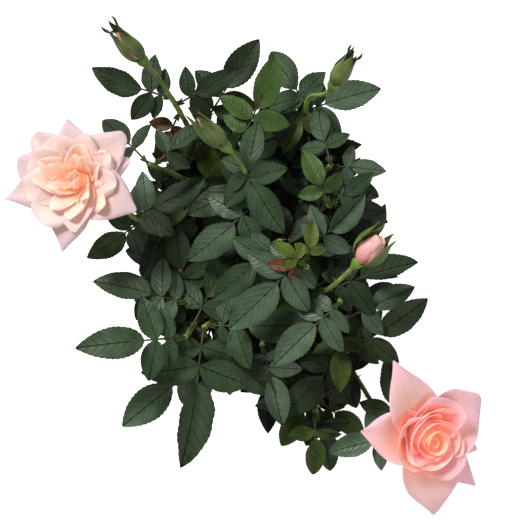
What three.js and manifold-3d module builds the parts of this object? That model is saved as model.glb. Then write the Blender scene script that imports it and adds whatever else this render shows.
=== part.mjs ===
// A miniature rose in a plain round nursery pot: a short woody crown in moist soil, nine canes
// fanning out of it, and leafy shoots that end in two full blooms, four buds or a top leaf.
// Millimetres, +Z up, origin at the centre of the pot's flat underside.
import * as THREE from "three";
import Module from "manifold-3d";
import { mergeVertices } from "three/addons/utils/BufferGeometryUtils.js";

const wasm = await Module();
wasm.setup();

// The pot and its soil
const POT_HEIGHT = 90;
const POT_TOP_RADIUS = 50;
const POT_FOOT_RADIUS = 37;
const POT_WALL = 1.8;
const POT_FLOOR = 2.4;
const RIM_DEPTH = 15;
const RIM_STEP = 1.7;
const POT_FACETS = 28;
const DRAIN_HOLES = 6;
const DRAIN_RADIUS = 3.6;
const DRAIN_CIRCLE = 24;
const SOIL_TOP = 80;
const SOIL_LEVEL_RADIUS = 15;
const GAP = 0.3;

// The woody crown: heights and radii from the soil up, then a rounded head
const TRUNK_SIDES = 15;
const TRUNK_RINGS = [
  [0, 10.6],
  [1.6, 8.4],
  [5, 6.9],
  [9, 6.4],
];
const TRUNK_LOBES = 5;
const LOBE_DEPTH = 0.16;
const LOBE_TOP = 9;
const TRUNK_LEAN = 0.1;
const HEAD_RADIUS = 9;
const HEAD_RISE = 17;
const HEAD_LATITUDES = [-42, -12, 18, 48, 72];

// Canes and stems
const CANE_BASE = 2.4;
const CANE_TIP = 1.5;
const CANE_SIDES = 6;
const CANE_STEP = 8;
const CANES_APART = 36;
const KNOB = 2.45;
// Rings of a knob: distance from its middle, and radius
const KNOB_RINGS = [
  [-1.9, CANE_TIP],
  [-0.7, 2.3],
  [0.8, 2.25],
  [2, 1.2],
];
const STEM_BASE = 1.3;
const STEM_TIP = 1;
const STEM_STEP = 9;
const SHOOTS_APART = 58;
const TWIG_SIDES = 3;
const HANDLE = 0.36;

// Leaves: a stalk, a top leaflet and pairs of side leaflets joined at shares of the stalk
const STALK_RADII = [1.05, 0.9];
const UPPER_PAIR = { joint: 0.82, size: 0.66, fan: 64 };
const LOWER_PAIR = { joint: 0.5, size: 0.48, fan: 70 };
const LEAF_WIDTH = 0.47;
const SIDE_WIDTH = 0.52;
const WIDEST_AT = 0.42;
const WIDEST_LIFT = 0.02;
const LEAF_THICK = 0.035;
const LEAF_DROOP = 6;
const SIDE_SAG = 0.1;
const ROOT_SUNK = 1.5;
const WAIST = [0.5, 0.55];

// Where the leaves of a shoot join it, down from its top, and how far a try may stray
const LEAF_STEPS = [0, 5, 13, 21, 29, 37, 45];
const TRIES = 24;
const BACK_STEP = 1.7;
const SHORTEST_STEM = 6;
const SHOWN_LEAVES = 2;
const SHOWN_RISES = [2, -14, 18];
const FIVE_LEAFLETS_FROM = 24;
const FIVE_LEAFLETS_TRIES = 9;

// Room kept round each thing as balls, and the space the lower leaves stay in
const SAMPLE = 3;
const LEAF_ROOM = 1.35;
const STALK_ROOM = 1.2;
const STEM_ROOM = 1.5;
const CANE_ROOM = 3.2;
const JOINT_ROOM = 9;
const POT_ROOM = 3;
const REACH_CENTRE = [-8, -3];
const REACH = [70, 88];

// Canes: name, and where the tip's knob stands
const CANES = [
  ["cane_north_west", -27, 38, 130],
  ["cane_north", -8, 31, 143],
  ["cane_north_east", 21, 38, 133],
  ["cane_east", 23, -1, 137],
  ["cane_south_east", 27, -42, 124],
  ["cane_south", -3, -25, 137],
  ["cane_south_west", -25, -26, 131],
  ["cane_west", -37, 2, 128],
  ["cane_centre", -5, 9, 148],
];

// Shoots: name, cane, top joint x, y, z, first leaf's heading, turn to the second leaf,
// length of the first one's top leaflet, the second's share of it, stalk, leaves, end
const SHOOTS = [
  ["bud_top_left", 0, -50.3, 78.9, 164, 162, -134, 28, 0.83, 0.6, 4, "bud"],
  ["leaves_top_left", 0, -33.9, 69.1, 156, 57, 137, 30, 0.7, 0.67, 5, "leaf"],
  ["bud_top_right", 2, 15.9, 77.7, 160, 123, -104, 28, 1.1, 0.38, 4, "bud"],
  ["leaves_top_centre", 1, -16.4, 56.7, 174, 66, -100, 29.5, 0.7, 0.67, 5, "leaf"],
  ["bud_centre", 1, -14.4, 42.4, 187, -59, 140, 29, 0.8, 0.28, 4, "bud"],
  ["leaves_right_up", 2, 27.5, 46.4, 168, 105, -108, 21, 0.85, 0.67, 5, "leaf"],
  ["leaves_right_mid", 2, 26.5, 26.0, 182, 115, -80, 20, 0.9, 0.6, 5, "leaf"],
  ["leaves_centre", 3, 15.3, 3.8, 188, 226, 177, 33, 0.75, 0.67, 5, "leaf"],
  ["leaves_young", 3, 15.1, -3.4, 197, 141, -61, 12, 1.15, 0.75, 3, "leaf"],
  ["leaves_right_inner", 3, 31.4, -20.2, 184, 223, -150, 29, 0.7, 0.6, 4, "leaf"],
  ["bud_pink", 3, 23.8, -14.8, 176, 19, 110, 30, 0.7, 0.67, 4, "bud"],
  ["leaves_right", 4, 31.7, -29.7, 172, 25, -113, 24, 0.88, 0.75, 4, "leaf"],
  ["leaves_right_low", 4, 35.9, -44.6, 164, 31, -163, 30, 1, 0.63, 5, "leaf"],
  ["bloom_right", 4, 60.9, -87.4, 150, 193, -103, 24, 1.1, 0.55, 4, "bloom"],
  ["leaves_bottom", 4, 20.2, -75.7, 148, -90, 140, 22, 0.9, 0.67, 5, "leaf"],
  ["leaves_bottom_left", 6, -34.5, -32.7, 170, -97, 97, 43, 0.8, 0.67, 5, "leaf"],
  ["leaves_left_low", 6, -43.4, -37.3, 178, 184, -121, 33, 1, 0.67, 4, "leaf"],
  ["leaves_low_left", 6, -34.0, -49.7, 150, 218, 120, 33.5, 0.8, 0.67, 4, "leaf"],
  ["leaves_left_mid", 7, -42.4, -21.5, 166, 164, -60, 30, 0.85, 0.67, 5, "leaf"],
  ["bloom_left", 7, -69.2, 21.1, 160, 26, -169, 29, 0.83, 0.45, 5, "bloom"],
  ["leaves_left_up", 0, -62.2, 47.6, 162, 135, -95, 23, 0.9, 0.67, 5, "leaf"],
  ["leaves_centre_up", 8, -6.2, 30.5, 177, 223, 79, 30, 0.6, 0.67, 5, "leaf"],
  ["leaves_centre_low", 8, 2.5, 9.1, 182, 222, 115, 27, 0.9, 0.67, 5, "leaf"],
  ["leaves_bottom_mid", 5, -6.2, -41.8, 162, -75, 130, 26, 0.9, 0.67, 5, "leaf"],
];

// Shoots that fill the crown inside and below: name, cane, top joint x, y, z, first leaf's heading,
// length of its top leaflet
const FILL_SHOOTS = [
  ["inner_west", 7, -24, 2, 146, 200, 27],
  ["inner_south", 5, 3, -18, 160, 290, 27],
  ["inner_north", 2, 10, 30, 156, 200, 27],
  ["inner_east", 3, 33, 6, 156, 20, 25],
  ["skirt_east", 3, 44, 2, 116, 5, 26],
  ["skirt_north_east", 2, 36, 32, 116, 40, 25],
  ["skirt_north", 1, 0, 60, 122, 84, 27],
  ["skirt_west_north", 0, -50, 40, 116, 150, 27],
  ["skirt_west", 7, -56, -6, 114, 190, 27],
  ["skirt_south_west", 6, -44, -44, 113, 226, 27],
  ["skirt_south", 5, -4, -56, 118, 268, 27],
  ["skirt_south_east", 4, 42, -42, 106, 320, 26],
];
const FILL_TURN = 116;
const FILL_STALK = 0.67;
const FILL_COUNT = 4;

// Flowers at a shoot's end: the foot of the bloom or hip, and the way it faces
const BUDS = {
  bud_top_left: { foot: [-61.3, 93, 196], tip: [-73.9, 106, 212], girth: 4.2 },
  bud_top_right: { foot: [26.8, 82.3, 188], tip: [35.2, 94.1, 204], girth: 4 },
  bud_centre: { foot: [-21.8, 52, 200], tip: [-36.4, 65.6, 214], girth: 4.2 },
  bud_pink: { foot: [37.4, -2.9, 198], tip: [50.8, 11.1, 212], girth: 6.4 },
};
// A bloom's outer petals: heading and length of each
const BLOOMS = {
  bloom_left: {
    foot: [-91.4, 37.3, 188],
    facing: [-0.26, 0.02, 0.96],
    outer: [[98, 30], [43, 34], [-28, 33], [-104, 33], [193, 34], [150, 33]],
  },
  bloom_right: {
    foot: [67, -80.9, 182],
    facing: [0.29, -0.24, 0.93],
    outer: [[105, 36], [180, 28], [-77, 40], [-43, 38], [27, 32]],
  },
};
const OUTER_WIDTH = 29;
const OUTER_LEAN = [38, 102];
// The ring inside them: petals, length, width, lean at the claw and at the tip
const INNER_RING = [5, 29, 27, 26, 66];
// Stations along a petal: share of its length, share of its width, and how far its edges curl in
const PETAL_STATIONS = [
  [0.1, 0.3, 0.1],
  [0.52, 0.96, 0.2],
  [0.84, 0.8, -0.12],
];
const PETAL_THICK = 1;
const BLADE_CORNERS = 4;
const PETAL_STEPS = 8;
const CLAW_RADIUS = 1.5;
// The furled heart: heights up the bloom's axis, and radii
const HEART = [
  [0, 3.2],
  [6, 9],
  [14, 12.5],
  [21, 12],
  [26, 7],
];
const HEART_SIDES = 9;
const BLOOM_ROOM = { height: 14, across: 30, along: 17 };
const HIP = 3.1;
const SEPALS = 3;
const SEPAL_LENGTH = 1.15;
const SEPAL_WIDTH = 5;

const COLOURS = {
  pot: [0x6b4a3c, 0.7],
  soil: [0x2e2418, 0.95],
  bark: [0x6a5a3c, 0.85],
  cane: [0x64773a, 0.6],
  leaf: [0x4a6048, 0.55],
  young: [0x61794a, 0.5],
};

const UP = new THREE.Vector3(0, 0, 1);
// How far joining may move a surface, so that no sliver is left
const COARSEST = 0.15;

// A repeatable stream of numbers from 0 to 1
function seeded(seed) {
  let state = seed;
  return () => {
    state = (state * 1664525 + 1013904223) % 4294967296;
    return state / 4294967296;
  };
}

function point(x, y, z) {
  return new THREE.Vector3(x, y, z);
}

// A unit direction from a compass heading and a rise, in degrees
function bearing(heading, rise) {
  const h = THREE.MathUtils.degToRad(heading);
  const r = THREE.MathUtils.degToRad(rise);
  return point(Math.cos(h) * Math.cos(r), Math.sin(h) * Math.cos(r), Math.sin(r));
}

function moved(start, direction, distance) {
  return start.clone().addScaledVector(direction, distance);
}

// A closed solid from corner points and outward triangles
function solid(corners, faces) {
  const vertProperties = new Float32Array(corners.flatMap((p) => [p.x, p.y, p.z]));
  const triVerts = new Uint32Array(faces.flat());
  return new wasm.Manifold(new wasm.Mesh({ numProp: 3, vertProperties, triVerts }));
}

function solidOfGeometry(geometry) {
  geometry.deleteAttribute("normal");
  geometry.deleteAttribute("uv");
  const merged = mergeVertices(geometry, 1e-4);
  const vertProperties = merged.attributes.position.array;
  const triVerts = new Uint32Array(merged.index.array);
  return new wasm.Manifold(new wasm.Mesh({ numProp: 3, vertProperties, triVerts }));
}

function geometryOf(body) {
  const mesh = body.getMesh();
  const positions = new Float32Array(mesh.numVert * 3);
  for (let i = 0; i < mesh.numVert; i++) {
    const row = mesh.vertProperties.subarray(i * mesh.numProp, i * mesh.numProp + 3);
    positions.set(row, i * 3);
  }
  const geometry = new THREE.BufferGeometry();
  geometry.setAttribute("position", new THREE.BufferAttribute(positions, 3));
  geometry.setIndex(new THREE.BufferAttribute(new Uint32Array(mesh.triVerts), 1));
  geometry.computeVertexNormals();
  return geometry;
}

// One body: the joined pieces' largest, with any sealed hollow filled and loose scraps left off
function fused(pieces) {
  const joined = wasm.Manifold.union(pieces).simplify(COARSEST);
  const bodies = joined.decompose();
  return bodies.reduce((best, body) => (body.volume() > best.volume() ? body : best));
}

// A solid skinned over rings of points, flat where it ends in a ring, pointed where in one point;
// the two faces of a four-cornered blade are split along the same lines, so that they can't cross
function skinned(rings) {
  const starts = [];
  rings.reduce((sum, ring) => (starts.push(sum), sum + ring.length), 0);
  const faces = [];
  for (let r = 0; r + 1 < rings.length; r++) {
    const below = rings[r].length;
    const above = rings[r + 1].length;
    const count = Math.max(below, above);
    for (let i = 0; i < count; i++) {
      const next = (i + 1) % count;
      const [a, b] = [starts[r] + (i % below), starts[r] + (next % below)];
      const [c, d] = [starts[r + 1] + (i % above), starts[r + 1] + (next % above)];
      if (count === BLADE_CORNERS && below === above && i % 2) faces.push([a, b, c], [b, d, c]);
      else {
        if (below > 1) faces.push([a, b, d]);
        if (above > 1) faces.push([a, d, c]);
      }
    }
  }
  const last = starts[rings.length - 1];
  for (let i = 1; i + 1 < rings[0].length; i++) faces.push([0, i + 1, i]);
  for (let i = 1; i + 1 < rings.at(-1).length; i++) faces.push([last, last + i, last + i + 1]);
  return solid(rings.flat(), faces);
}

// A limb with the given radius at each point of its path
function limb(path, radii, sides, leaving) {
  let across = null;
  const rings = path.map((centre, i) => {
    const before = path[Math.max(i - 1, 0)];
    const after = path[Math.min(i + 1, path.length - 1)];
    const along = i === 0 && leaving ? leaving : after.clone().sub(before).normalize();
    const start = across ?? (Math.abs(along.z) < 0.9 ? UP : point(1, 0, 0));
    across = start.clone().addScaledVector(along, -start.dot(along)).normalize();
    const beside = along.clone().cross(across);
    return Array.from({ length: sides }, (_, k) => {
      const turn = (2 * Math.PI * k) / sides;
      const corner = moved(centre, across, radii[i] * Math.cos(turn));
      return corner.addScaledVector(beside, radii[i] * Math.sin(turn));
    });
  });
  return skinned(rings);
}

const SPREAD_PASSES = 80;
const SPREAD_PUSH = 0.08;

// Directions pushed apart until none is nearer than the given angle to another or to the fixed one
function spread(wanted, fixed, apart) {
  const directions = wanted.map((d) => d.clone().normalize());
  const nearest = Math.cos(THREE.MathUtils.degToRad(apart));
  for (let pass = 0; pass < SPREAD_PASSES; pass++)
    directions.forEach((one, i) => {
      const others = [fixed, ...directions.filter((_, k) => k !== i)];
      for (const other of others)
        if (one.dot(other) > nearest) one.addScaledVector(other, -SPREAD_PUSH).normalize();
    });
  return directions;
}

// Points along a smooth path that leaves one end and meets the other in the given directions
function sweep(start, leaving, end, arriving, step) {
  const span = start.distanceTo(end);
  const second = moved(start, leaving, span * HANDLE);
  const third = moved(end, arriving, -span * HANDLE);
  const curve = new THREE.CubicBezierCurve3(start, second, third, end);
  const pieces = Math.max(2, Math.ceil(span / step));
  return Array.from({ length: pieces + 1 }, (_, i) => curve.getPoint(i / pieces));
}

// The point a given distance back from the end of a path, or null past its start
function backAlong(path, distance) {
  let left = distance;
  for (let i = path.length - 1; i > 0; i--) {
    const step = path[i].distanceTo(path[i - 1]);
    if (left <= step) return path[i].clone().lerp(path[i - 1], left / step);
    left -= step;
  }
  return null;
}

// Space already taken, as balls filed by the cell they stand in
const CELL = 8;
const taken = new Map();

function cellKey(x, y, z) {
  return `${x},${y},${z}`;
}

function claim(centre, radius, owner) {
  const key = cellKey(...centre.toArray().map((c) => Math.floor(c / CELL)));
  if (!taken.has(key)) taken.set(key, []);
  taken.get(key).push({ centre, radius, owner });
}

function claimPath(path, radius, owner) {
  for (let i = 0; i + 1 < path.length; i++) {
    const steps = Math.ceil(path[i].distanceTo(path[i + 1]) / SAMPLE);
    for (let k = 0; k <= steps; k++) claim(path[i].clone().lerp(path[i + 1], k / steps), radius, owner);
  }
}

// Whether a ball keeps clear of what is taken, its own stem near the joint apart
function isFree(centre, radius, owner, joint) {
  const [cx, cy, cz] = centre.toArray().map((c) => Math.floor(c / CELL));
  for (let x = cx - 1; x <= cx + 1; x++)
    for (let y = cy - 1; y <= cy + 1; y++)
      for (let z = cz - 1; z <= cz + 1; z++)
        for (const ball of taken.get(cellKey(x, y, z)) ?? []) {
          const near = centre.distanceTo(joint) < JOINT_ROOM;
          if (near && ball.owner === owner) continue;
          if (centre.distanceTo(ball.centre) < radius + ball.radius) return false;
        }
  return true;
}

function clearOfPot(p) {
  return p.z > POT_HEIGHT + POT_ROOM || Math.hypot(p.x, p.y) > POT_TOP_RADIUS + POT_ROOM;
}

function clearOfBlooms(p) {
  return Object.values(BLOOMS).every((bloom) => {
    const facing = point(...bloom.facing).normalize();
    const heart = moved(point(...bloom.foot), facing, BLOOM_ROOM.height);
    const from = p.clone().sub(heart);
    const high = from.dot(facing) / BLOOM_ROOM.along;
    const wide = from.addScaledVector(facing, -from.dot(facing)).length() / BLOOM_ROOM.across;
    return high * high + wide * wide > 1;
  });
}

function withinReach(p) {
  const x = (p.x - REACH_CENTRE[0]) / REACH[0];
  const y = (p.y - REACH_CENTRE[1]) / REACH[1];
  return x * x + y * y < 1;
}

// A leaflet's own frame: its root, the way it points, its left side and its upper face
function leaflet(root, along, upper, length, width) {
  const side = upper.clone().cross(along).normalize();
  const above = along.clone().cross(side).normalize();
  return { root, along, side, above, length, width };
}

// A compound leaf: a thin stalk, a top leaflet and one or two pairs of side leaflets
function compoundLeaf(joint, heading, rise, roll, length, stalk, pairs) {
  const first = bearing(heading, rise);
  const end = moved(joint, first, length * stalk);
  const level = bearing(heading + 90, roll);
  const above = first.clone().cross(level).normalize();
  const droop = bearing(heading, rise - LEAF_DROOP);
  const leaflets = [leaflet(moved(end, first, -ROOT_SUNK), droop, above, length, length * LEAF_WIDTH)];
  for (const pair of [UPPER_PAIR, LOWER_PAIR].slice(0, pairs))
    for (const hand of [-1, 1]) {
      const angle = THREE.MathUtils.degToRad(pair.fan);
      const root = joint.clone().lerp(end, pair.joint);
      const along = first.clone().multiplyScalar(Math.cos(angle));
      along.addScaledVector(level, hand * Math.sin(angle)).addScaledVector(UP, -SIDE_SAG).normalize();
      const size = length * pair.size;
      leaflets.push(leaflet(root, along, above, size, size * SIDE_WIDTH));
    }
  return { stalk: [joint, end], leaflets };
}

// Points spread over a leaflet, closer together than its claims are wide
function samples(leaf) {
  const points = [];
  const rows = Math.ceil(leaf.length / SAMPLE);
  for (let i = 1; i <= rows; i++) {
    const share = i / rows;
    const half = leaf.width * 0.5 * Math.min(share / WIDEST_AT, (1.04 - share) / 0.6, 1);
    const columns = Math.ceil(half / SAMPLE);
    for (let k = -columns; k <= columns; k++) {
      const spot = moved(leaf.root, leaf.along, share * leaf.length);
      points.push(spot.addScaledVector(leaf.side, (half * k) / columns));
    }
  }
  return points;
}

// The three-cornered section of a leaflet or its stalk: left edge, ridge, right edge
function section(centre, side, above, half, ridge) {
  return [moved(centre, side, half), moved(centre, above, ridge), moved(centre, side, -half)];
}

function widest(leaf) {
  const centre = moved(leaf.root, leaf.along, leaf.length * WIDEST_AT);
  const lifted = moved(centre, leaf.above, leaf.length * WIDEST_LIFT);
  return section(lifted, leaf.side, leaf.above, leaf.width * 0.54, leaf.length * LEAF_THICK);
}

function tipOf(leaf) {
  return [moved(leaf.root, leaf.along, leaf.length)];
}

// A compound leaf: stalk and top leaflet in one, and each pair of side leaflets as one bar through it
function leafSolids(leaf) {
  const [joint, end] = leaf.stalk;
  const [top] = leaf.leaflets;
  const stalkAt = (centre, radius) => {
    const low = moved(centre, top.above, -radius / 2);
    return section(low, top.side, top.above, radius * 0.87, radius * 1.5);
  };
  const blade = [stalkAt(joint, STALK_RADII[0]), stalkAt(end, STALK_RADII[1]), widest(top), tipOf(top)];
  const pieces = [skinned(blade)];
  for (let i = 1; i < leaf.leaflets.length; i += 2) {
    const [right, left] = leaf.leaflets.slice(i, i + 2);
    const waist = section(left.root, top.along.clone().negate(), top.above, ...WAIST);
    pieces.push(skinned([tipOf(right), widest(right).reverse(), waist, widest(left), tipOf(left)]));
  }
  return pieces;
}

// A single pointed blade, such as a sepal
function bladeSolid(leaf) {
  const foot = section(leaf.root, leaf.side, leaf.above, leaf.width * 0.2, 0.5);
  return skinned([foot, widest(leaf), tipOf(leaf)]);
}

function headingOf(shoot, k) {
  if (k < 2) return shoot.first + shoot.turn * k;
  return shoot.first + shoot.turn + 137.5 * (k - 1);
}

// The k-th leaf down a shoot: tried a few ways, and skipped where it would touch something
function growLeaf(shoot, k) {
  const shown = k < shoot.shown;
  for (let attempt = 0; attempt < TRIES; attempt++) {
    const ease = attempt / TRIES;
    const joint = backAlong(shoot.stem, LEAF_STEPS[k] + BACK_STEP * Math.floor(attempt / 3));
    const wander = shown ? Math.max(0, 70 * (ease - 0.5)) : 20 + 70 * ease;
    const heading = headingOf(shoot, k) + (shoot.draw() - 0.5) * 2 * wander;
    const rise = (shown ? SHOWN_RISES[attempt % 3] : 2) + (shoot.draw() - 0.5) * (shown ? 8 : 44);
    const roll = (shoot.draw() - 0.5) * 28;
    const share = shown ? (k ? shoot.second : 1) - 0.1 * ease : 0.9 + 0.15 * shoot.draw() - 0.25 * ease;
    if (!joint || joint.distanceTo(shoot.stem[0]) < SHORTEST_STEM) return;
    const length = shoot.length * share;
    const five = shown && length > FIVE_LEAFLETS_FROM && attempt < FIVE_LEAFLETS_TRIES;
    const leaf = compoundLeaf(joint, heading, rise, roll, length, shoot.stalk, five ? 2 : 1);
    if (!fits(leaf, shoot, shown)) continue;
    for (const blade of leaf.leaflets) for (const spot of samples(blade)) claim(spot, LEAF_ROOM, shoot.name);
    claimPath(leaf.stalk, STALK_ROOM, shoot.name);
    shoot.leaves.push(leaf);
    return;
  }
}

function fits(leaf, shoot, shown) {
  const joint = leaf.stalk[0];
  const stalk = [0.3, 0.6, 0.9].map((share) => joint.clone().lerp(leaf.stalk[1], share));
  const spots = [...stalk, ...leaf.leaflets.flatMap(samples)];
  return spots.every((p) => {
    if (!shown && !withinReach(p)) return false;
    return clearOfPot(p) && clearOfBlooms(p) && isFree(p, LEAF_ROOM, shoot.name, joint);
  });
}

// The pot: one turned profile with a stepped rim, cut by drain holes round its middle
function makePot() {
  const rimFoot = POT_HEIGHT - RIM_DEPTH;
  const slope = (POT_TOP_RADIUS - RIM_STEP - POT_FOOT_RADIUS) / rimFoot;
  const rimRadius = POT_FOOT_RADIUS + slope * rimFoot;
  const profile = [
    [0, 0],
    [POT_FOOT_RADIUS, 0],
    [rimRadius, rimFoot],
    [rimRadius + RIM_STEP, rimFoot],
    [POT_TOP_RADIUS, POT_HEIGHT],
    [POT_TOP_RADIUS - POT_WALL, POT_HEIGHT],
    [rimRadius - POT_WALL, rimFoot],
    [POT_FOOT_RADIUS - POT_WALL, POT_FLOOR],
    [0, POT_FLOOR],
  ];
  const turned = new THREE.LatheGeometry(
    profile.map(([r, h]) => new THREE.Vector2(r, h)),
    POT_FACETS,
  );
  turned.rotateX(Math.PI / 2);
  let body = solidOfGeometry(turned);
  for (let i = 0; i < DRAIN_HOLES; i++) {
    const drill = new THREE.CylinderGeometry(DRAIN_RADIUS, DRAIN_RADIUS, 3 * POT_FLOOR, 8);
    const turn = (2 * Math.PI * i) / DRAIN_HOLES;
    drill.rotateX(Math.PI / 2);
    drill.translate(DRAIN_CIRCLE * Math.cos(turn), DRAIN_CIRCLE * Math.sin(turn), POT_FLOOR / 2);
    body = body.subtract(solidOfGeometry(drill));
  }
  return body;
}

function makeSoil() {
  const rimFoot = POT_HEIGHT - RIM_DEPTH;
  const clear = POT_WALL + GAP;
  const rimRadius = POT_TOP_RADIUS - RIM_STEP;
  const top = rimRadius - clear + 0.3;
  const profile = [
    [0, POT_FLOOR + GAP],
    [POT_FOOT_RADIUS - clear, POT_FLOOR + GAP],
    [rimRadius - clear, rimFoot],
    [top, SOIL_TOP - 2],
    [SOIL_LEVEL_RADIUS, SOIL_TOP],
    [0, SOIL_TOP],
  ];
  const turned = new THREE.LatheGeometry(
    profile.map(([r, h]) => new THREE.Vector2(r, h)),
    POT_FACETS,
  );
  turned.rotateX(Math.PI / 2);
  return solidOfGeometry(turned);
}

const TRUNK_FOOT = SOIL_TOP + GAP;
const HEAD = point(HEAD_RISE * TRUNK_LEAN, 0, TRUNK_FOOT + HEAD_RISE);

// The woody crown: a lobed root flare, a waist and a rounded head, leaning a little
function makeTrunk() {
  const rows = TRUNK_RINGS.map(([height, radius]) => [height, radius, LOBE_DEPTH * (1 - height / LOBE_TOP)]);
  for (const rise of HEAD_LATITUDES) {
    const angle = THREE.MathUtils.degToRad(rise);
    rows.push([HEAD_RISE + HEAD_RADIUS * Math.sin(angle), HEAD_RADIUS * Math.cos(angle), 0]);
  }
  const rings = rows.map(([height, radius, lobe]) =>
    Array.from({ length: TRUNK_SIDES }, (_, i) => {
      const turn = (2 * Math.PI * i) / TRUNK_SIDES;
      const out = radius * (1 + lobe * Math.cos(TRUNK_LOBES * turn));
      const lean = Math.min(height, HEAD_RISE) * TRUNK_LEAN;
      return point(lean + out * Math.cos(turn), out * Math.sin(turn), TRUNK_FOOT + height);
    }),
  );
  return skinned(rings);
}

// Canes leave the head evenly spread and rise to their knobs
const knobs = CANES.map(([, x, y, z]) => point(x, y, z));
const caneStarts = spread(
  knobs.map((knob) => knob.clone().sub(HEAD).setZ(Math.max(9, 0.55 * (knob.z - HEAD.z)))),
  point(0, 0, -1),
  CANES_APART,
);
const canes = CANES.map(([name], i) => {
  const start = moved(HEAD, caneStarts[i], HEAD_RADIUS + GAP);
  const arriving = knobs[i].clone().sub(start).normalize().add(point(0, 0, 0.5)).normalize();
  const path = sweep(start, caneStarts[i], knobs[i], arriving, CANE_STEP);
  return { name, path, leaving: caneStarts[i], arriving, knob: knobs[i] };
});

function makeCane(cane) {
  const last = cane.path.length - 1;
  const path = cane.path.slice(0, last);
  const radii = path.map((_, i) => CANE_BASE + ((CANE_TIP - CANE_BASE) * i) / last);
  for (const [offset, radius] of KNOB_RINGS) {
    path.push(moved(cane.knob, cane.arriving, offset));
    radii.push(radius);
  }
  return limb(path, radii, CANE_SIDES, cane.leaving);
}

// Shoots leave their cane's knob evenly spread; a flowering shoot runs on to its flower
const shoots = SHOOTS.map(([name, cane, x, y, z, first, turn, length, second, stalk, count, end]) => ({
  name,
  cane,
  top: point(x, y, z),
  first,
  turn,
  length,
  second,
  stalk,
  count,
  end,
  shown: SHOWN_LEAVES,
}));
for (const [name, cane, x, y, z, first, length] of FILL_SHOOTS) {
  const shape = { turn: FILL_TURN, length, second: 1, stalk: FILL_STALK, count: FILL_COUNT };
  shoots.push({ name, cane, top: point(x, y, z), first, ...shape, end: "leaf", shown: 0 });
}
shoots.forEach((shoot, i) => {
  shoot.draw = seeded(7919 * (i + 1));
  shoot.leaves = [];
});

canes.forEach((cane, c) => {
  const grown = shoots.filter((shoot) => shoot.cane === c);
  const wanted = grown.map((shoot) => shoot.top.clone().sub(cane.knob));
  const leaving = spread(wanted, cane.arriving.clone().negate(), SHOOTS_APART);
  grown.forEach((shoot, i) => {
    const start = moved(cane.knob, leaving[i], KNOB + GAP);
    const flower = BUDS[shoot.name] ?? BLOOMS[shoot.name];
    const onward = flower ? point(...flower.foot) : moved(shoot.top, UP, 40);
    const arriving = onward.clone().sub(shoot.top).normalize();
    arriving.add(shoot.top.clone().sub(start).normalize()).normalize();
    shoot.leaving = leaving[i];
    shoot.stem = sweep(start, leaving[i], shoot.top, arriving, STEM_STEP);
    shoot.neck = flower ? neckOf(shoot.top, arriving, flower) : [];
    claimPath([...shoot.stem, ...shoot.neck], STEM_ROOM, shoot.name);
  });
  claimPath(cane.path, CANE_ROOM, cane.name);
});

// The bare flower stalk from the top joint to the flower's foot
function neckOf(top, arriving, flower) {
  const foot = point(...flower.foot);
  const facing = flower.tip ? point(...flower.tip).sub(foot) : point(...flower.facing);
  const neck = sweep(top, arriving, foot, facing.normalize(), STEM_STEP);
  return neck.slice(1);
}

for (const shoot of shoots) {
  const bud = BUDS[shoot.name];
  if (bud) claimPath([point(...bud.foot), point(...bud.tip)], bud.girth, shoot.name);
}
// The leaves that show first, then the rest, from each shoot's top down
for (const showing of [true, false])
  for (let k = 0; k < LEAF_STEPS.length; k++)
    for (const shoot of shoots) if (k < shoot.count && k < shoot.shown === showing) growLeaf(shoot, k);

// A bud: the swollen hip, a pointed body wrapped in sepals, and the sepals' free tips
function budSolids(bud) {
  const foot = point(...bud.foot);
  const axis = point(...bud.tip).sub(foot);
  const length = axis.length();
  axis.normalize();
  const rows = [
    [-0.05, STEM_TIP],
    [0.1, HIP],
    [0.28, HIP * 0.85],
    [0.5, bud.girth],
    [0.78, bud.girth * 0.66],
    [1, 0.8],
  ];
  const path = rows.map(([share]) => moved(foot, axis, share * length));
  const radii = rows.map(([, radius]) => radius);
  const pieces = [limb(path, radii, 6)];
  const across = axis.clone().cross(UP).normalize();
  const lift = across.clone().cross(axis);
  for (let i = 0; i < SEPALS; i++) {
    const turn = (2 * Math.PI * i) / SEPALS + 0.4;
    const out = across.clone().multiplyScalar(Math.cos(turn)).addScaledVector(lift, Math.sin(turn));
    const root = moved(foot, axis, length * 0.3).addScaledVector(out, HIP * 0.4);
    const along = axis.clone().addScaledVector(out, 0.3 + 0.12 * (i % 2)).normalize();
    pieces.push(bladeSolid(leaflet(root, along, out.clone().negate(), length * SEPAL_LENGTH, SEPAL_WIDTH)));
  }
  return pieces;
}

// The midline of a petal at a share of its length, with the way it faces there
function petalSpine(foot, facing, out, length, leanFoot, leanTip, share) {
  const spot = moved(foot, out, CLAW_RADIUS);
  let lean = 0;
  for (let i = 0; i < PETAL_STEPS; i++) {
    const passed = (share * (i + 0.5)) / PETAL_STEPS;
    lean = THREE.MathUtils.degToRad(leanFoot + (leanTip - leanFoot) * passed);
    spot.addScaledVector(facing, (Math.cos(lean) * length * share) / PETAL_STEPS);
    spot.addScaledVector(out, (Math.sin(lean) * length * share) / PETAL_STEPS);
  }
  const inward = facing.clone().multiplyScalar(Math.sin(lean)).addScaledVector(out, -Math.cos(lean));
  return [spot, inward];
}

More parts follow.
